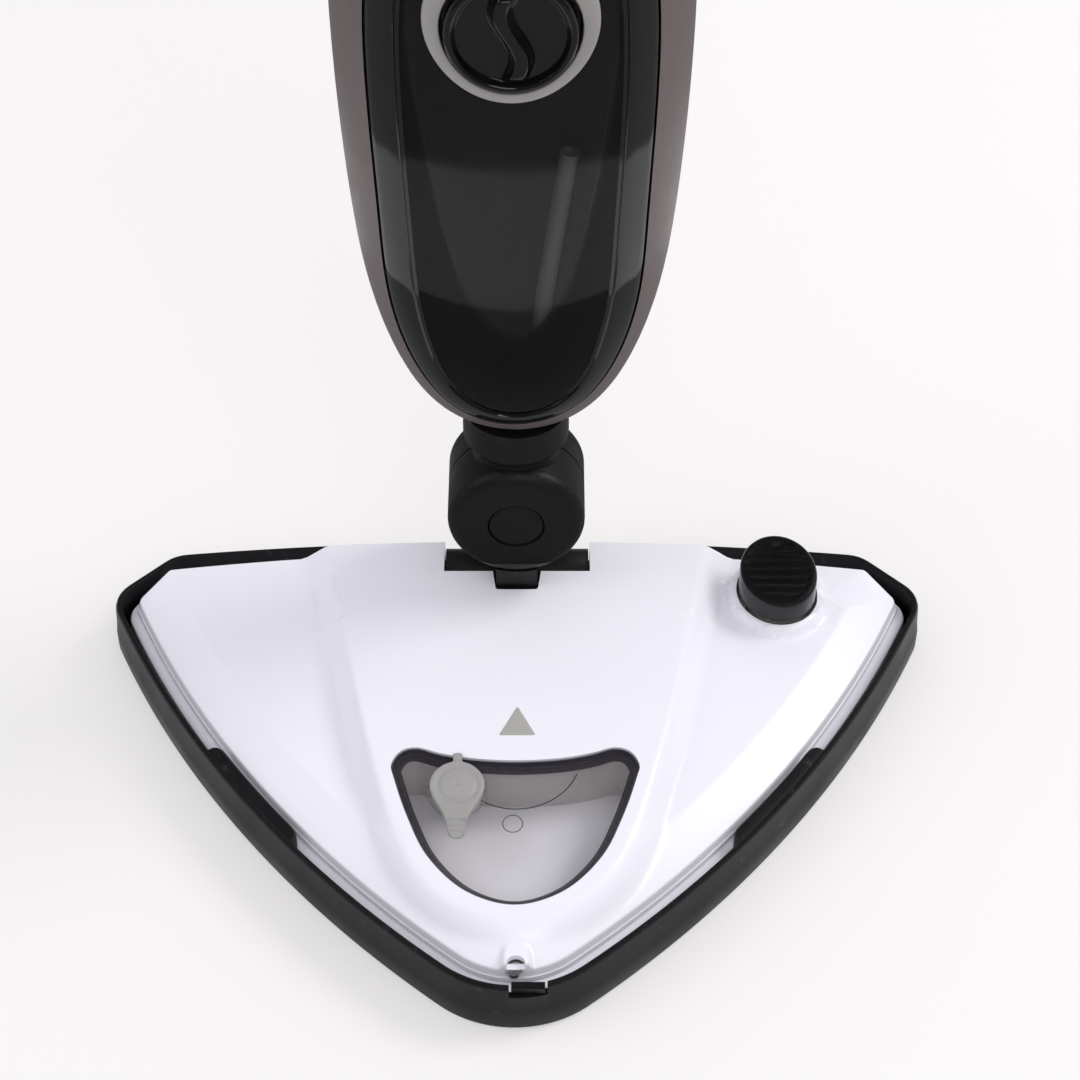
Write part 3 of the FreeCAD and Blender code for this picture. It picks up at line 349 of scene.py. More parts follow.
hook_place, hook_half, hook_angle = np.array([93.5, -106.5]), 25.5, math.radians(50.5)
hook_foot = 2.4
hook_profile = [(hook_foot, 3.2), (hook_foot, 19.4), (2.8, 20.4), (3.7, 20.7), (6.9, 20.7), (7.5, 20.2),
                (7.75, 19.2), (7.75, 3.2)]
for side, side_name in ((1, "right"), (-1, "left")):
    along = hook_half * np.sin(np.linspace(-math.pi / 2, math.pi / 2, 48))
    base = hook_place + along[:, None] * [math.cos(hook_angle), math.sin(hook_angle)]
    outward = (base - side_centre) / np.linalg.norm(base - side_centre, axis=1, keepdims=True)
    taper = np.clip(1 - np.abs(along / hook_half) ** 18, 0, 1) ** 0.5
    hook_reach = np.array([inset - hook_foot for inset, height in hook_profile])
    depth = hook_foot + hook_reach[None, :] * (0.4 + 0.6 * taper)[:, None]
    plan = side_centre + outward[:, None, :] * (side_radius - depth)[..., None]
    heights = np.broadcast_to([height for inset, height in hook_profile], depth.shape)
    points = np.concatenate([plan * [side, 1], heights[..., None]], 2)
    hook = mesh_piece("glider_hook_" + side_name, points, capped(*depth.shape), glider_plastic)
    fit(hook, "glider", "glider")


# --------------------------------------------------------------------------------------- sole plate
# The white base of the head: a shallow tray whose rounded flange shows all round under the cover. It is
# injection moulded in the cover's plastic, with two rows of steam holes under the manifold.

white_plastic = moulded_plastic("white_plastic", (0.85, 0.835, 0.885), 0.22, 0.02, 700, mottle=0.0,
                                uneven=0.03)
sole_edge, sole_foot_z, tray_z = 5.6, 3.0, 8.5
sole_profile = [(60, sole_foot_z + 3), (10.5, sole_foot_z + 3), (10.2, sole_foot_z), (6.8, sole_foot_z),
                (6.2, 3.5), (sole_edge, 9.0), (sole_edge, 11.6), (5.9, 12.5), (6.7, flange_z),
                (9.2, flange_z), (9.8, 12.6), (11.8, 12.6), (12.0, tray_z), (60, tray_z)]
sole_rows = np.stack([raised(head_outline(min(inset, 30)), height) for inset, height in sole_profile])
sole_rows[[0, -1], :, :2] *= 0.02
sole_rows[[0, -1], :, 1] -= 60
sole = mesh_piece("sole_tray", sole_rows, capped(*sole_rows.shape[:2]), white_plastic)
steam_holes = [(side * (8 + 13 * step), -36 - 8 * abs(step - 1.5)) for step in range(5) for side in (-1, 1)]
cut_out(sole, [prism("steam_hole", arc(hole, 1.5, 0, 2 * math.pi, 13)[:-1], 0, 12) for hole in steam_holes]
        + [prism("screw_hole", arc(hole, 1.6, 0, 2 * math.pi, 13)[:-1], 0, 12)
           for hole in ((-118, -16), (118, -4), (-70, -92), (70, -92))])
fit(sole, "head", "white_shell", "sole_plate")


# ---------------------------------------------------------------------------------------- top cover
# The white glossy cover of the head: a thin moulded shell with two low wings, a facet along its long
# sides and a raised middle that narrows into a collar round the detergent window.

def soft_step(share, ease=0.12):
    """0 up to 0, 1 from 1 and straight between, with both corners rounded: the half sum of 1 and two
    square roots whose difference bends over the ease."""
    return 0.5 * (1 + np.sqrt(share ** 2 + ease ** 2) - np.sqrt((1 - share) ** 2 + ease ** 2))


def smooth_loop(points, steps=8):
    """A closed Catmull-Rom curve through plan points."""
    points = np.asarray(points, float)
    before, after, far = np.roll(points, 1, 0), np.roll(points, -1, 0), np.roll(points, -2, 0)
    t = (np.arange(steps) / steps)[None, :, None]
    before, start, after, far = (part[:, None, :] for part in (before, points, after, far))
    curve = 0.5 * (2 * start + (after - before) * t + (2 * before - 5 * start + 4 * after - far) * t ** 2
                   + (3 * start - before - 3 * after + far) * t ** 3)
    return curve.reshape(-1, 2)


def grown(loop, amount):
    """A loop moved outwards along its normals, for a loop that runs clockwise seen from above."""
    run = np.roll(loop, -1, 0) - np.roll(loop, 1, 0)
    normal = np.stack([-run[:, 1], run[:, 0]], 1)
    return loop + normal / np.linalg.norm(normal, axis=1, keepdims=True) * amount


def distance_outside(x, y, loop):
    """Distance from plan points to a closed loop, below zero inside it: the nearest of the loop's runs,
    and inside where a line to the right crosses the loop an odd number of times."""
    nearest, inside = np.full(x.shape, 1e9), np.zeros(x.shape, bool)
    for (x0, y0), (dx, dy) in zip(loop, np.roll(loop, -1, 0) - loop):
        share = np.clip(((x - x0) * dx + (y - y0) * dy) / (dx * dx + dy * dy), 0, 1)
        nearest = np.minimum(nearest, np.hypot(x - x0 - share * dx, y - y0 - share * dy))
        crossed = (y0 > y) != (y0 + dy > y)
        inside ^= crossed & (x < x0 + dx * (y - y0) / (dy if dy else 1e-9))
    return np.where(inside, -nearest, nearest)


def both_sides(right):
    """A closed loop, clockwise seen from above, from its right half given from rear to front."""
    right = np.asarray(right, float)
    inner = right[1:-1] if right[0][0] == 0 else right
    left = inner[::-1] * [-1, 1]
    return np.concatenate([right, left])


window_half = [(0, -101.3), (15, -100.4), (26, -98.3), (34, -95.8), (39.6, -97.3), (42.6, -102.5),
               (41.6, -108), (36.6, -123.5), (29.2, -139.5), (16.5, -152.6), (0, -158)]
window_loop = smooth_loop(both_sides(window_half))
collar_half = [(0, 30), (71.5, 30), (71.2, 11), (68.3, -9), (55.5, -75), (49.6, -100), (46.8, -110),
               (41.5, -126), (33.6, -143), (19.5, -157.5), (0, -163.2)]
hump_loop = smooth_loop(both_sides(collar_half))

button_place, button_turn = np.array([96.0, -15.2]), math.radians(13)
button_half_long, button_half_short = 16.0, 14.0


def button_oval(grow, count=120):
    """The foot button's oval in plan, grown all round."""
    angle = np.linspace(0, 2 * math.pi, count, endpoint=False)
    across, along = (button_half_short + grow) * np.cos(angle), (button_half_long + grow) * np.sin(angle)
    turn = np.array([[math.cos(button_turn), math.sin(button_turn)],
                     [-math.sin(button_turn), math.cos(button_turn)]])
    return np.stack([across, along], 1) @ turn + button_place


facet_edge, facet_width, facet_low_z, wing_z = 11.0, 14.0, 18.0, 22.9
boss_loop = smooth_loop([(0.6, -168.6), (3.6, -169.6), (5.4, -173), (5.6, -180), (4.6, -186), (-3.4, -186),
                         (-4.4, -180), (-4.2, -173), (-2.4, -169.6)], 6)


def side_depth(x, y):
    """How far a plan point lies inside the long sides and the nose."""
    across = np.abs(x)
    from_side = side_radius - np.hypot(across - side_centre[0], y - side_centre[1])
    toward = (nose_centre - side_centre) / np.linalg.norm(nose_centre - side_centre)
    beyond = across * toward[1] - (y - nose_centre[1]) * toward[0]
    from_nose = nose_radius - np.hypot(across, y - nose_centre[1])
    return np.where(beyond > 0, from_nose, from_side)


def cover_height(x, y):
    """Height of the cover's outer surface over plan points: the facet and wing, then the raised middle,
    the ring round the foot button and the nose boss, each blended in by its distance in plan."""
    depth = side_depth(x, y)
    low = facet_low_z + (wing_z - facet_low_z) * soft_step((depth - facet_edge) / facet_width, 0.03)
    low = low + 1.2 * soft_step((depth - facet_edge - facet_width) / 45, 0.1)
    crest = np.interp(y, [-170, -158, -98, -75, -40, -9, 12], [25.0, 26.3, 33.2, 34.0, 33.2, 32.0, 30.2])
    bank = np.interp(y, [-160, -130, -104, -75, -9, 12], [7.5, 8.0, 6.5, 7.0, 8.0, 10.0])
    away = distance_outside(x, y, hump_loop)
    high = low + (crest - low) * (1 - soft_step(away / bank, 0.05))
    ring = distance_outside(x, y, button_oval(0.0, 60))
    high = high + np.maximum(27.5 - high, 0) * (1 - soft_step((ring - 2.6) / 1.3, 0.15))
    boss = distance_outside(x, y, boss_loop)
    return high + np.maximum(21.6 - high, 0) * (1 - soft_step((boss + 0.9) / 1.2, 0.2))


cover_wall = 2.2
cover_density = 1.25
wall_rows = [(9.4, 0.0), (9.4, 1.6), (9.5, 2.0), (9.85, 2.1), (10.0, 2.4), (10.3, 3.6)]
edge_rows = [(10.45, 1.0), (10.6, 0.5), (10.85, 0.16), (11.2, 0.0)]
inset_rows = np.concatenate([np.linspace(11.8, 24.0, 9), [24.5, 25.0, 25.6, 26.6, 28.0]])
inward_shares = np.linspace(0, 1, 78)[1:] ** 0.93


def cover_surface():
    """The cover as a grid: a wall carried along the outline, an edge rounding, then the height over
    ever smaller insets, and from the last of those straight in to a point under the swivel."""
    rows = [raised(head_outline(inset, cover_density), flange_z + up) for inset, up in wall_rows]
    for inset, drop in edge_rows:
        plan = head_outline(inset, cover_density)
        rows.append(raised(plan, cover_height(*head_outline(11.2, cover_density).T) - drop))
    for inset in inset_rows:
        plan = head_outline(inset, cover_density)
        rows.append(raised(plan, cover_height(*plan.T)))
    centre = np.array([0.0, -50.0])
    for share in inward_shares:
        shrunk = centre + (plan - centre) * (1 - share)
        rows.append(raised(shrunk, cover_height(*shrunk.T)))
    return np.stack(rows)


cover_points = cover_surface()
cover = mesh_piece("cover_shell", cover_points, grid_faces(*cover_points.shape[:2]), white_plastic, 50)
wall = cover.modifiers.new("wall", "SOLIDIFY")
wall.thickness, wall.offset = cover_wall * 0.001, -1
axle_slot = rectangle(-27.0, 27.0, -8.8, 30)
stem_slot = smooth_loop([(-8, 0), (-8, -16), (-7.5, -18), (-6, -18.5), (6, -18.5), (7.5, -18), (8, -16),
                         (8, 0)], 3)
cut_out(cover, [prism("window_hole", grown(window_loop, 0.25), 10, 60), prism("axle_slot", axle_slot, 10, 60),
                prism("stem_slot", stem_slot, 10, 60), prism("button_hole", button_oval(0.8), 10, 60),
                prism("screw_recess", arc((0.6, -178.5), 3.1, 0, 2 * math.pi, 29)[:-1], 18.8, 60)], 50)
fit(cover, "head", "white_shell", "top_cover")

# A triangular label of bare neutral film lies on the cover behind the window.
label_film = moulded_plastic("label_film", (0.40, 0.39, 0.36), 0.35, 0.02, 300, mottle=0.02)
label_half, label_rear, label_front = 6.4, -77.2, -90.2
label_corners = np.array([(0.6, label_rear), (0.6 + label_half, label_front),
                          (0.6 - label_half, label_front)])
label_rings = []
for share, lift in ((1.0, -0.05), (1.0, 0.10), (0.96, 0.16), (0.5, 0.16), (0.02, 0.16)):
    ends = np.roll(label_corners, -1, 0)
    steps = np.linspace(0.04, 0.96, 12)[None, :, None]
    loop = (label_corners[:, None] + (ends - label_corners)[:, None] * steps).reshape(-1, 2)
    loop = label_corners.mean(0) + (loop - label_corners.mean(0)) * share
    label_rings.append(raised(loop, cover_height(*loop.T) + lift))
label_rings = np.stack(label_rings)
fit(mesh_piece("plain_label", label_rings, capped(*label_rings.shape[:2]), label_film), "head", "white_shell")


# ----------------------------------------------------------------------------------- detergent tank
# A small clear, slightly smoked tank of blow-moulded PET that fills the window: its lid lies a little
# under the cover, and the rolled bead round it reads as a dark double line. That line is painted shade:
# the bead gets a darker, less clear tint in place of the dark look that refraction gives thick clear plastic.

def clear_plastic(name, colour, see_through, rough=0.04, gloss=0.6):
    """Smoked clear plastic: an even tint that lets most light through and turns to mirror at grazing."""
    material, nodes, links = new_material(name)
    shader = nodes["Principled BSDF"]
    rim, mix = nodes.new("ShaderNodeFresnel"), nodes.new("ShaderNodeMapRange")
    shader.inputs["Base Color"].default_value = (*colour, 1)
    shader.inputs["Roughness"].default_value = rough
    shader.inputs["Specular IOR Level"].default_value = gloss
    rim.inputs["IOR"].default_value = 1.45
    mix.inputs["To Min"].default_value, mix.inputs["To Max"].default_value = 1 - see_through, 1.0
    links.new(rim.outputs[0], mix.inputs["Value"])
    links.new(mix.outputs[0], shader.inputs["Alpha"])
    return material


# Painted light: the pale tint of the tank's body and neck brightens the inside of the tank; the real plastic
# is clear with a slight smoke.
tank_pale_painted_light = clear_plastic("tank_pale_painted_light", (0.58, 0.55, 0.55), 0.97)
# Painted shade: this darker, less clear tint stands in for the dark look that refraction gives the tank's
# clear bead and lines.
tank_line_painted_shade = clear_plastic("tank_line_painted_shade", (0.035, 0.03, 0.04), 0.35, 0.05)
lid_rear_z, lid_rear_y, lid_slope = 33.0, -98.0, 0.115


def lid_plane(y):
    """Height of the plane that the tank's lid follows, which rises towards the rear of the window."""
    return lid_rear_z + (y - lid_rear_y) * lid_slope


def window_rows(profile, centre=(0, -125)):
    """Rows round the window outline from pairs of how far it is grown and how far above the lid plane.
    Below -4 the first number is a share of the way out from the centre, and below -12 the second means
    the tank's floor."""
    rows = []
    for grow, lift in profile:
        loop = grown(window_loop, grow if grow > -4 else -3.6)
        if grow <= -4:
            loop = centre + (loop - centre) * (grow + 100) / 96
        height = lid_plane(loop[:, 1]) + lift if lift > -12 else np.full(len(loop), tray_z + 0.3)
        rows.append(raised(loop, height))
    return np.stack(rows)


# The body is drawn in the pale tint of painted light, and it casts no shadow.
body_profile = [(-99.9, -20), (-60, -20), (-0.9, -20), (-0.4, -11), (-0.4, -3.4), (-1.9, -3.1),
                (-3.6, -3.1), (-30, -3.1), (-60, -3.1), (-85, -3.1), (-99.9, -3.1)]
body_rows = window_rows(body_profile)
tank_body = mesh_piece("tank_body", body_rows, capped(*body_rows.shape[:2]), tank_pale_painted_light)
fit(tank_body, "head", "clear_tank", "detergent_tank").visible_shadow = False

# The rolled bead is drawn in the tint of painted shade, not in the clear plastic that it is made of.
bead_profile = [(-0.35, -3.0), (-0.15, -1.4), (-0.2, -0.45), (-0.5, -0.15), (-0.9, -0.35), (-1.15, -0.9),
                (-1.35, -1.15), (-1.7, -1.2), (-2.0, -1.5), (-2.15, -2.3), (-2.6, -2.8), (-3.3, -3.02),
                (-2.0, -3.06)]
bead_rows = window_rows(bead_profile)
fit(mesh_piece("tank_bead", bead_rows, grid_faces(*bead_rows.shape[:2], close_rows=True), tank_line_painted_shade),
    "head", "clear_tank")


def thin_line(name, path, radius, material, sides=6, closed=False):
    """A round bead of the given radius along a path of points in space."""
    path = np.asarray(path, float)
    run = np.gradient(path, axis=0) if not closed else np.roll(path, -1, 0) - np.roll(path, 1, 0)
    run /= np.linalg.norm(run, axis=1, keepdims=True)
    side = np.cross(run, [0, 0, 1])
    flat = np.linalg.norm(side, axis=1, keepdims=True)
    side = np.where(flat > 0.05, side / np.maximum(flat, 1e-6), [[1.0, 0.0, 0.0]])
    up = np.cross(side, run)
    angle = np.linspace(0, 2 * math.pi, sides, endpoint=False)
    ring = side[:, None] * np.cos(angle)[None, :, None] + up[:, None] * np.sin(angle)[None, :, None]
    points = path[:, None] + radius * ring
    faces = grid_faces(len(path), sides, close_rows=True) if closed else capped(len(path), sides)
    return mesh_piece(name, points, faces, material)


# The ring mark and the swell line in the lid are drawn in the same tint of painted shade.
mark = arc((-0.8, -124.3), 3.4, 0, 2 * math.pi, 41)[:-1]
fit(thin_line("tank_mark", raised(mark, lid_plane(mark[:, 1]) - 3.1), 0.16, tank_line_painted_shade, closed=True),
    "head", "clear_tank")
swell = arc((0.3, -95.8), 22.6, math.radians(-158), math.radians(-22), 60)
fit(thin_line("tank_swell", raised(swell, lid_plane(swell[:, 1]) - 3.15), 0.22, tank_line_painted_shade), "head",
    "clear_tank")
step_rows = np.stack([raised(rectangle(-23 + inset, 23 - inset, -156 + inset, -153.4 - inset), height)
                      for inset, height in ((0.4, 8.7), (0, 9.2), (0, 18.6), (0.4, 19.0))])
fit(mesh_piece("tank_step", step_rows, capped(*step_rows.shape[:2]), white_plastic), "head", "clear_tank")


# --------------------------------------------------------------------------------------- tank plug
# The filler plug of translucent grey silicone: a thick disc with a strap to the tank's rear edge and a
# ribbed pull tab towards the front, moulded in one.

silicone = moulded_plastic("silicone", (0.34, 0.33, 0.315), 0.42, 0.1, 500, mottle=0.04, gloss=0.4)
plug_place = np.array([-19.9, -112.3])
plug_right = [(1.5, 13.3), (1.5, 10.6), (2.2, 9.4), (5.2, 8.0), (8.2, 4.8), (9.5, 0.4), (8.3, -4.6),
              (5.7, -9.4), (3.8, -13.6), (3.1, -17.4), (2.3, -19.8), (0.9, -20.6)]
plug_loop = smooth_loop(np.concatenate([plug_right, np.array(plug_right)[::-1] * [-1, 1]]), 6)


def plug_height(x, y, lift):
    """Top of the plug: a shallow groove inside the disc's rim, a dimple, and ribs across the tab."""
    reach = np.hypot(x, y)
    groove = -0.45 * np.exp(-((reach - 6.9) / 0.9) ** 2) * (y > -7.5) + 0.15 * (reach < 5.8)
    dimple = -0.5 * np.exp(-(reach / 0.55) ** 2)
    ribs = 0.35 * np.sin((y + 13.2) * 2 * math.pi / 2.1) * ((y < -13.4) & (y > -20.0) & (np.abs(x) < 3.4))
    thin = -0.9 * np.clip((-y - 11.5) / 3, 0, 1) - 0.7 * np.clip((y - 9.0) / 1.5, 0, 1)
    return lift + groove + dimple + ribs + thin


plug_levels = [(0.02, 0.1), (0.9, 0.1), (0.985, 0.15), (1.0, 0.5), (1.0, 1.6), (0.985, 2.0), (0.95, 2.2)]
plug_levels += [(share, 2.25) for share in np.linspace(0.92, 0.01, 46)]
plug_rows = []
for share, lift in plug_levels:
    plan = np.array([0, -3.0]) + (plug_loop - [0, -3.0]) * share
    level = plug_height(plan[:, 0], plan[:, 1], lift) if lift > 1 else np.full(len(plan), lift)
    place = plan + plug_place
    plug_rows.append(raised(place, lid_plane(place[:, 1]) + level))
plug_rows = np.stack(plug_rows)
fit(mesh_piece("plug_disc", plug_rows, capped(*plug_rows.shape[:2]), silicone, 60), "plug", "silicone",
    "tank_plug")
# The neck shares the body's pale tint of painted light.
neck_radii = (9.6, 10.1, 10.1, 9.9, 9.0, 8.6)
neck_rows = np.stack([raised(arc(plug_place, radius, 0, 2 * math.pi, 65)[:-1], 0) for radius in neck_radii])
neck_rows[..., 2] = lid_plane(neck_rows[..., 1]) + np.array([-3.1, -2.6, -0.5, -0.2, -0.2, -3.1])[:, None]
fit(mesh_piece("tank_neck", neck_rows, grid_faces(*neck_rows.shape[:2], close_rows=True), tank_pale_painted_light),
    "head", "clear_tank")


# ------------------------------------------------------------------------------------- foot button
# The pump button for the toe: a hollow ABS oval with a sloping top, seven grooves across it for grip and
# a polished edge, guided by the ring of the cover.

button_black = moulded_plastic("button_black", (0.004, 0.004, 0.0045), 0.20, 0.12, 800, mottle=0.1,
                               worn=0.05, gloss=0.5)
button_middle_z, button_slope = 39.4, 5.2 / 32.0
groove_pitch, groove_half, groove_depth = 3.7, 0.55, 1.0


def button_top(plan, share):
    """Height of the button's top over plan points: a slope with its grooves, which stop short of the edge."""
    along = plan[:, 1] - button_place[1]
    phase = np.abs((along + groove_pitch / 2) % groove_pitch - groove_pitch / 2)
    cut = (1 - soft_step((phase - groove_half) / 0.5, 0.2)) * (np.abs(along) < 3.5 * groove_pitch)
    edge = distance_outside(plan[:, 0], plan[:, 1], button_oval(-2.4, 80))
    cut = cut * soft_step(-edge / 0.7, 0.2)
    return button_middle_z + along * button_slope - groove_depth * cut - 0.25 * share ** 2


button_rows = []
for grow, height in ((-2.6, 28.0), (-0.4, 28.0), (0.0, 28.5)):
    button_rows.append(raised(button_oval(grow, 240), height))
for grow, drop in ((0.0, 1.6), (-0.12, 0.9), (-0.5, 0.35), (-1.1, 0.05), (-1.6, 0.0)):
    plan = button_oval(grow, 240)
    button_rows.append(raised(plan, button_top(button_oval(-1.6, 240), 0) - drop))
for share in np.linspace(0.01, 0.99, 64):
    plan = button_place + (button_oval(-1.6, 240) - button_place) * (1 - share)
    button_rows.append(raised(plan, button_top(plan, share)))
for share, height in ((0.01, 33.5), (0.8, 33.5), (0.84, 32.5), (0.84, 28.2)):
    button_rows.append(raised(button_place + (button_oval(0, 240) - button_place) * share, height))
button_rows = np.stack(button_rows)
fit(mesh_piece("button_cap", button_rows, grid_faces(*button_rows.shape[:2], close_rows=True),
               button_black, 35),
    "button", "button_black", "foot_button")
# ------------------------------------------------------------------------------------------ swivel
# The two-way joint between head and unit: a barrel of matt black glass-filled nylon in two halves, its
# front half turned round a recess with a pressed-in cap, on the axle's stem, with the neck on top.

matt_black = moulded_plastic("matt_black", (0.006, 0.0055, 0.006), 0.46, 1.0, 640, worn=0.16,
                             worn_colour=(0.05, 0.048, 0.047), gloss=0.35)


def circles(profile, centre, axis, count=96):
    """Rows of circles about an axis (0, 1 or 2) through a centre, from pairs of a distance along the
    axis and a radius."""
    angle = np.linspace(0, 2 * math.pi, count, endpoint=False)
    turn = np.stack([np.cos(angle), np.sin(angle)], 1)
    return np.stack([np.insert(turn * radius, axis, along, axis=1) + centre for along, radius in profile])


def turned(name, profile, centre, axis, material, count=96, sharp=38):
    """A closed turned piece."""
    rows = circles(profile, centre, axis, count)
    return mesh_piece(name, rows, capped(*rows.shape[:2]), material, sharp)


knuckle_centre, barrel_face, barrel_radius, barrel_round = np.array([0.0, 0.0, 65.0]), -19.0, 24.7, 5.0
rounding = np.radians(np.linspace(0, 90, 10))
barrel_profile = [(-16.9, 0.02), (-16.9, 9.9), (-17.3, 10.1), (-18.6, 10.15), (barrel_face + 0.1, 10.3),
                  (barrel_face, 10.7)]
barrel_profile += [(barrel_face + barrel_round * (1 - math.cos(turn)),
                    barrel_radius - barrel_round * (1 - math.sin(turn))) for turn in rounding]
barrel_profile += [(2.3, barrel_radius), (2.65, barrel_radius - 0.3), (2.7, 18), (2.7, 0.02)]
fit(turned("front_barrel_shell", barrel_profile, knuckle_centre, 1, matt_black, 128), "swivel_neck",
    "black_plastic", "front_barrel")
cap_profile = [(-17.0, 0.02), (-17.0, 9.6), (-18.1, 9.7), (-18.45, 9.55), (-18.6, 9.1), (-18.72, 5),
               (-18.78, 0.02)]
fit(turned("pivot_cover", cap_profile, knuckle_centre, 1, matt_black), "swivel_neck", "black_plastic",
    "pivot_cap")

neck_rows = circles([(80.0, 15.6), (90.2, 15.6), (90.3, 15.6), (106.0, 15.6)], [0, 0, 0], 2)
neck_rows[..., 1] = np.minimum(neck_rows[..., 1], np.array([2.7, 2.7, 7.2, 7.2])[:, None])
fit(mesh_piece("neck_post", neck_rows, capped(*neck_rows.shape[:2]), matt_black), "swivel_neck",
    "black_plastic")
sleeve_profile = [(16.0, 6.3), (16.4, 7.3), (25.6, 7.3), (26.3, 6.8), (26.3, 0.02), (16.0, 0.02)]
axle_centre = np.array([0, 0, 24.5])
for side, side_name in ((1, "right"), (-1, "left")):
    profile = [(side * along, radius) for along, radius in sleeve_profile]
    sleeve = turned("axle_sleeve_" + side_name, profile, axle_centre, 0, matt_black, 72)
    fit(sleeve, "swivel_foot", "black_plastic")


# ------------------------------------------------------------------------------------- water tank
# The front of the unit: an egg-shaped shell of smoked SAN with a broad polished black frame and a
# window a millimetre lower, through which the tank's floor, fitting and intake tube show faintly.

def spline(knots, values, closed=False):
    """A cubic spline through values at knots, as a function. The bends at the knots solve the usual
    three-term system, with no bend at open ends and the same bend at both ends when closed."""
    knots, values = np.asarray(knots, float), np.asarray(values, float)
    span, rise, last = np.diff(knots), np.diff(values), len(knots) - 1
    system, right = np.eye(last + 1), np.zeros(last + 1)
    for knot in range(1, last):
        system[knot, knot - 1:knot + 2] = span[knot - 1], 2 * (span[knot - 1] + span[knot]), span[knot]
        right[knot] = 6 * (rise[knot] / span[knot] - rise[knot - 1] / span[knot - 1])
    if closed:
        system[0, [0, 1, last - 1]] = 2 * (span[0] + span[-1]), span[0], span[-1]
        right[0] = 6 * (rise[0] / span[0] - rise[-1] / span[-1])
        system[last, 0] = -1
    bend = np.linalg.solve(system, right)

    def value_at(place):
        start = np.clip(np.searchsorted(knots, place, side="right") - 1, 0, last - 1)
        step, ahead = span[start], np.asarray(place) - knots[start]
        behind = step - ahead
        from_start = bend[start] * (behind ** 3 / step - behind * step)
        from_end = bend[start + 1] * (ahead ** 3 / step - ahead * step)
        curved = (from_start + from_end) / 6
        return curved + (values[start] * behind + values[start + 1] * ahead) / step
    return value_at


unit_foot, unit_height, unit_half, unit_front = 108.0, 337.0, 56.6, 41.0
level_shares = np.array([0.0, 0.035, 0.09, 0.17, 0.29, 0.45, 0.60, 0.74, 0.88, 1.0])
half_shares = np.array([0.32, 0.55, 0.72, 0.86, 0.952, 1.0, 0.985, 0.87, 0.60, 0.335])
front_shares = np.array([0.34, 0.62, 0.86, 0.96, 0.99, 1.0, 1.0, 0.93, 0.68, 0.46])
section_levels = unit_foot + unit_height * level_shares
half_at = spline(section_levels, unit_half * half_shares)
front_at = spline(section_levels, unit_front * front_shares)


def unit_face(x, z):
    """How far forward the unit's front lies at a place seen from the front."""
    return -front_at(z) * np.sqrt(np.clip(1 - (x / half_at(z)) ** 2, 0, 1))


tank_foot, tank_height, tank_half = 123.0, 227.0, 44.8
egg_right = np.array([(0.0, 0.0), (0.52, 0.045), (0.82, 0.15), (0.96, 0.38), (1.0, 0.64), (0.94, 0.82),
                      (0.70, 0.94), (0.0, 1.0)])
egg = np.concatenate([egg_right, egg_right[-2:0:-1] * [-1, 1], egg_right[:1]])
egg = egg * [tank_half, tank_height] + [0, tank_foot]
egg_run = np.concatenate([[0], np.cumsum(np.hypot(*np.diff(egg, axis=0).T))])
egg_places = np.linspace(0, egg_run[-1], 321)[:-1]
egg_loop = np.stack([spline(egg_run, egg[:, part], closed=True)(egg_places) for part in (0, 1)], 1)
frame_share = 0.74 + 0.26 * soft_step((egg_loop[:, 1] - 127) / 34, 0.2)


def tank_rows(profile):
    """Rows round the egg from pairs of how far in and how deep under the unit's front."""
    rows = []
    for inset, depth in profile:
        loop = grown(egg_loop, inset * frame_share[:, None])
        rows.append(np.stack([loop[:, 0], unit_face(*loop.T) + depth, loop[:, 1]], 1))
    return np.stack(rows)


tank_black = moulded_plastic("tank_black", (0.003, 0.003, 0.0032), 0.055, 0.02, 260, mottle=0.1, gloss=0.6,
                             uneven=0.1)
tank_smoke = clear_plastic("tank_smoke", (0.004, 0.004, 0.0042), 0.74, 0.05, 0.75)
frame_rows = tank_rows([(0.9, 3.0), (0.0, 2.6), (0.0, 1.2), (0.3, 0.5), (0.9, 0.12), (2.0, 0.0),
                        (5.5, 0.0), (8.6, 0.0), (9.0, 0.12), (9.3, 0.5), (9.7, 1.05), (10.6, 1.3),
                        (11.2, 1.3), (11.2, 2.6), (9.0, 3.0)])
fit(mesh_piece("tank_frame", frame_rows, grid_faces(*frame_rows.shape[:2], close_rows=True), tank_black),
    "unit", "smoked_tank", "tank_front")
window_edge = grown(egg_loop, 10.9 * frame_share[:, None])
spine = np.stack([np.zeros(len(window_edge)), np.clip(window_edge[:, 1], 158, 312)], 1)
window_rows_front = []
for share in np.concatenate([[0.0, 0.02], np.linspace(0.06, 1, 26)]):
    loop = window_edge + (spine - window_edge) * share
    window_rows_front.append(np.stack([loop[:, 0], unit_face(*loop.T) + 1.25, loop[:, 1]], 1))
window_rows_front = np.stack(window_rows_front)
window_back = window_rows_front[::-1] + [0, 1.6, 0]
window_skin = np.concatenate([window_rows_front[::-1], window_back[::-1]])
fit(mesh_piece("tank_window", window_skin, grid_faces(*window_skin.shape[:2]), tank_smoke), "unit",
    "smoked_tank")

floor_level = 132.0
floor_loop = grown(egg_loop, 3.0)
floor_loop = floor_loop[np.abs(floor_loop[:, 1] - floor_level) < 4]
floor_half = float(np.abs(floor_loop[:, 0]).max())
across = np.linspace(-floor_half, floor_half, 41)
floor_rows = []
for share in np.linspace(0, 1, 9):
    depth = unit_face(across, np.full(41, floor_level)) + 3.0
    y = depth + (-13.2 - depth) * share
    floor_rows.append(np.stack([across, y, floor_level + 0.5 - 0.006 * across ** 2 * share], 1))
floor_rows = np.stack(floor_rows)
fit(mesh_piece("tank_floor", floor_rows, grid_faces(9, 41, close_columns=False), matt_black), "unit",
    "smoked_tank")


# ------------------------------------------------------------------------------------- filler cap
# The screw cap of polished black ABS: a dished disc with a rolled rim and an S-shaped ridge for the
# fingers, half ringed by a pale grey crescent that is broadest at its sides.

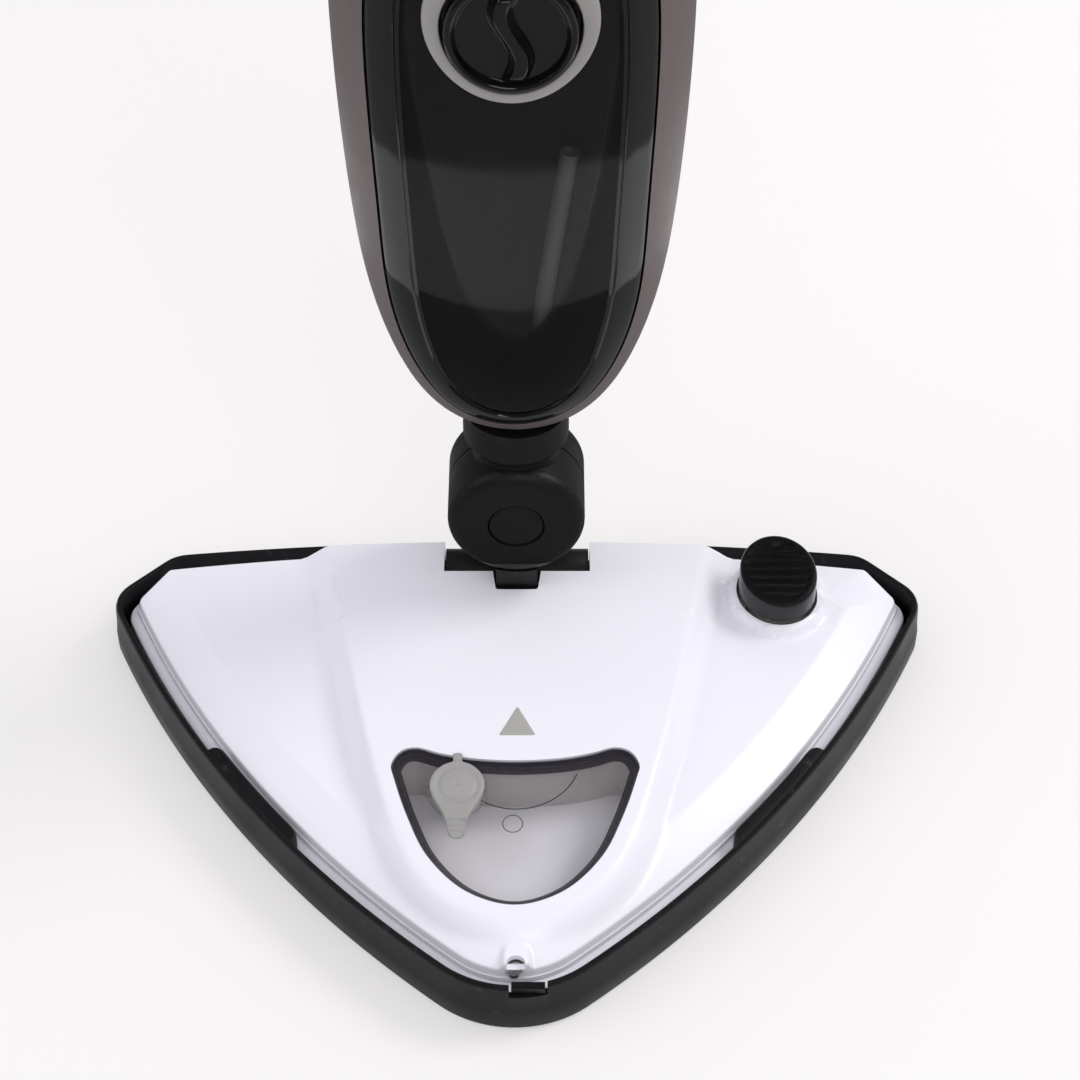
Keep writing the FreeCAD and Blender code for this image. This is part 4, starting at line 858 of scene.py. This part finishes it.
cap_place = np.array([0.0, 291.0])
cap_black = moulded_plastic("cap_black", (0.004, 0.004, 0.0045), 0.10, 0.03, 300, mottle=0.1, gloss=0.5,
                            uneven=0.1)
cap_radii = [(19.6, -33.4), (20.0, -34.0), (20.0, -42.6), (19.8, -43.6), (19.3, -44.1), (18.6, -44.3),
             (17.9, -44.1), (17.4, -43.5), (17.1, -42.6), (16.7, -41.9)]
ridge_reach, ridge_half, ridge_height, ridge_swing = 16.5, 3.5, 4.6, 3.1
cap_angles = np.linspace(0, 2 * math.pi, 192, endpoint=False)
cap_rows = []
for radius, y in cap_radii:
    cap_rows.append(np.stack([radius * np.cos(cap_angles), np.full(192, y), radius * np.sin(cap_angles)], 1))
for radius in np.linspace(16.4, 0.02, 74):
    x, z = radius * np.cos(cap_angles), radius * np.sin(cap_angles)
    dish = -41.6 + 0.5 * (1 - (radius / 16.4) ** 2)
    off = np.abs(x + ridge_swing * np.sin(math.pi * z / ridge_reach)) / ridge_half
    side_fall = 1 - soft_step((off - 0.55) / 0.55, 0.16)
    end_fall = 1 - soft_step((np.abs(z) - 13.6) / 2.6, 0.2)
    ridge = ridge_height * side_fall * end_fall
    cap_rows.append(np.stack([x, dish - ridge, z], 1))
cap_rows = np.stack(cap_rows) + [0, 0, cap_place[1]]
fit(mesh_piece("cap_dish", cap_rows, capped(*cap_rows.shape[:2]), cap_black, 50), "cap", "black_plastic",
    "filler_cap")

trim_grey = moulded_plastic("trim_grey", (0.30, 0.285, 0.27), 0.4, 0.5, 700, mottle=0.06, gloss=0.4)
sweep = np.radians(np.linspace(147, 393, 150))
ring_inner, ring_outer, ring_lift = 21.4, 26.5, 1.8
outer = ring_lift * np.sin(sweep) + np.sqrt(ring_outer ** 2 - (ring_lift * np.cos(sweep)) ** 2)
end_round = np.sqrt(np.clip(1 - (np.abs(np.linspace(-1, 1, 150)) - 0.955) ** 2 / 0.045 ** 2, 0.002, 1))
end_round = np.where(np.abs(np.linspace(-1, 1, 150)) > 0.955, end_round, 1)
middle, half_width = (outer + ring_inner) / 2, (outer - ring_inner) / 2 * end_round
ring_points = []
for across, lift in ((-1.0, 0.6), (-1.0, -0.5), (-0.9, -0.85), (-0.6, -1.0), (0.6, -1.0), (0.9, -0.85),
                     (1.0, -0.5), (1.0, 0.6)):
    radius = middle + half_width * across
    x, z = radius * np.cos(sweep), cap_place[1] + radius * np.sin(sweep)
    ring_points.append(np.stack([x, unit_face(x, z) + lift, z], 1))
ring_points = np.stack(ring_points, 1)
fit(mesh_piece("trim_crescent", ring_points, capped(*ring_points.shape[:2]), trim_grey), "unit",
    "trim_grey", "filler_ring")

# A dark ring on the floor and a dark disc over the head, seen only in mirror images, end the pale
# reflections in the tank. Their radii and heights are in metres.
flag_corners = 96
flag_rings = [(0.345, 0.0004), (5.0, 0.0004), (0.0, 0.046), (0.182, 0.046)]
flag_points = [raised(arc((0, 0), radius, 0, 2 * math.pi, flag_corners + 1)[:-1], height)
               for radius, height in flag_rings]
ring_faces = grid_faces(2, flag_corners)
disc_faces = [[corner + 2 * flag_corners for corner in face] for face in ring_faces]
flag_mesh = bpy.data.meshes.new("dark_flag")
flag_mesh.from_pydata(np.concatenate(flag_points).tolist(), [], ring_faces + disc_faces)
flag_material, flag_nodes = new_material("dark_flag")[:2]
flag_nodes["Principled BSDF"].inputs["Base Color"].default_value = (0.27, 0.27, 0.27, 1)
flag_nodes["Principled BSDF"].inputs["Roughness"].default_value = 1.0
flag_mesh.materials.append(flag_material)
flag = bpy.data.objects.new("dark_flag", flag_mesh)
bpy.context.scene.collection.objects.link(flag)
for seen_by in ("camera", "diffuse", "shadow", "transmission"):
    setattr(flag, "visible_" + seen_by, False)


# -------------------------------------------------------------------------------- pieces as packed
# What shows little or not at all keeps its built shape and gets the finish of what it is made of.

def metal(name, colour, rough, scratch=260.0):
    """Machined or stamped metal with fine streaks in its sheen."""
    material, nodes, links = new_material(name)
    shader = nodes["Principled BSDF"]
    place, stretch = nodes.new("ShaderNodeTexCoord"), nodes.new("ShaderNodeMapping")
    streaks, sheen = nodes.new("ShaderNodeTexNoise"), nodes.new("ShaderNodeMapRange")
    stretch.inputs["Scale"].default_value = (1.0, 1.0, 0.12)
    streaks.inputs["Scale"].default_value, streaks.inputs["Detail"].default_value = scratch, 4
    sheen.inputs["To Min"].default_value, sheen.inputs["To Max"].default_value = rough * 0.7, rough * 1.4
    shader.inputs["Base Color"].default_value, shader.inputs["Metallic"].default_value = (*colour, 1), 1.0
    links.new(place.outputs["Object"], stretch.inputs["Vector"])
    links.new(stretch.outputs[0], streaks.inputs["Vector"])
    links.new(streaks.outputs["Fac"], sheen.inputs["Value"])
    links.new(sheen.outputs[0], shader.inputs["Roughness"])
    return material


taupe = moulded_plastic("taupe", (0.125, 0.100, 0.096), 0.42, 0.35, 760, mottle=0.03, gloss=0.4)
rubber = moulded_plastic("rubber", (0.02, 0.019, 0.019), 0.62, 0.5, 420, worn=0.2, gloss=0.3)
inner_white = moulded_plastic("inner_white", (0.62, 0.61, 0.58), 0.4, 0.2, 500, mottle=0.05)
hook_tape = moulded_plastic("hook_tape", (0.05, 0.05, 0.052), 0.85, 1.0, 240, mottle=0.3, gloss=0.2)
grip_soft = moulded_plastic("grip_soft", (0.014, 0.013, 0.014), 0.55, 0.9, 900, worn=0.15, gloss=0.35)
lens_clear = clear_plastic("lens_clear", (0.55, 0.60, 0.66), 0.4, 0.1)
milky_tube = clear_plastic("milky_tube", (0.42, 0.42, 0.40), 0.3, 0.35)
steel = metal("steel", (0.56, 0.55, 0.54), 0.28)
brass = metal("brass", (0.85, 0.62, 0.25), 0.34)
cast_aluminium = metal("cast_aluminium", (0.60, 0.60, 0.61), 0.52, 120.0)
painted_pole = moulded_plastic("painted_pole", (0.125, 0.100, 0.096), 0.34, 0.3, 600, mottle=0.03, gloss=0.5)

finishes = {
    taupe: ["housing_left", "housing_right"],
    matt_black: ["swivel_stem", "rear_barrel", "neck_collar", "tank_back", "pole_collar", "hook_clamp",
                 "upper_cord_hook", "lower_cord_hook", "pole_latch"],
    grip_soft: ["grip_left", "grip_right", "trigger"],
    rubber: ["neck_seal", "cap_seal", "cord_gland", "stem_hose", "head_hose", "pump_hose", "inlet_hose",
             "feed_hose", "steam_hose"],
    inner_white: ["steam_manifold", "hinge_blocks", "pump_cylinder", "pump_piston", "lower_carrier",
                  "upper_carrier", "water_pump", "microswitch", "switch_carrier", "spray_nozzle"],
    steel: ["head_screws", "pump_spring", "pivot_pin", "pivot_screw", "heating_element", "thermostat",
            "housing_screws", "push_rod", "trigger_pin"],
    brass: ["intake_fitting", "steam_spigot"],
    cast_aluminium: ["boiler"],
    painted_pole: ["pole_tube"],
    hook_tape: ["hook_strips"],
    lens_clear: ["power_light"],
    milky_tube: ["intake_tube"],
}
for material, names in finishes.items():
    for name in names:
        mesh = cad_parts[name].data
        mesh.materials.clear()
        mesh.materials.append(material)
        finish_mesh(mesh, 32)
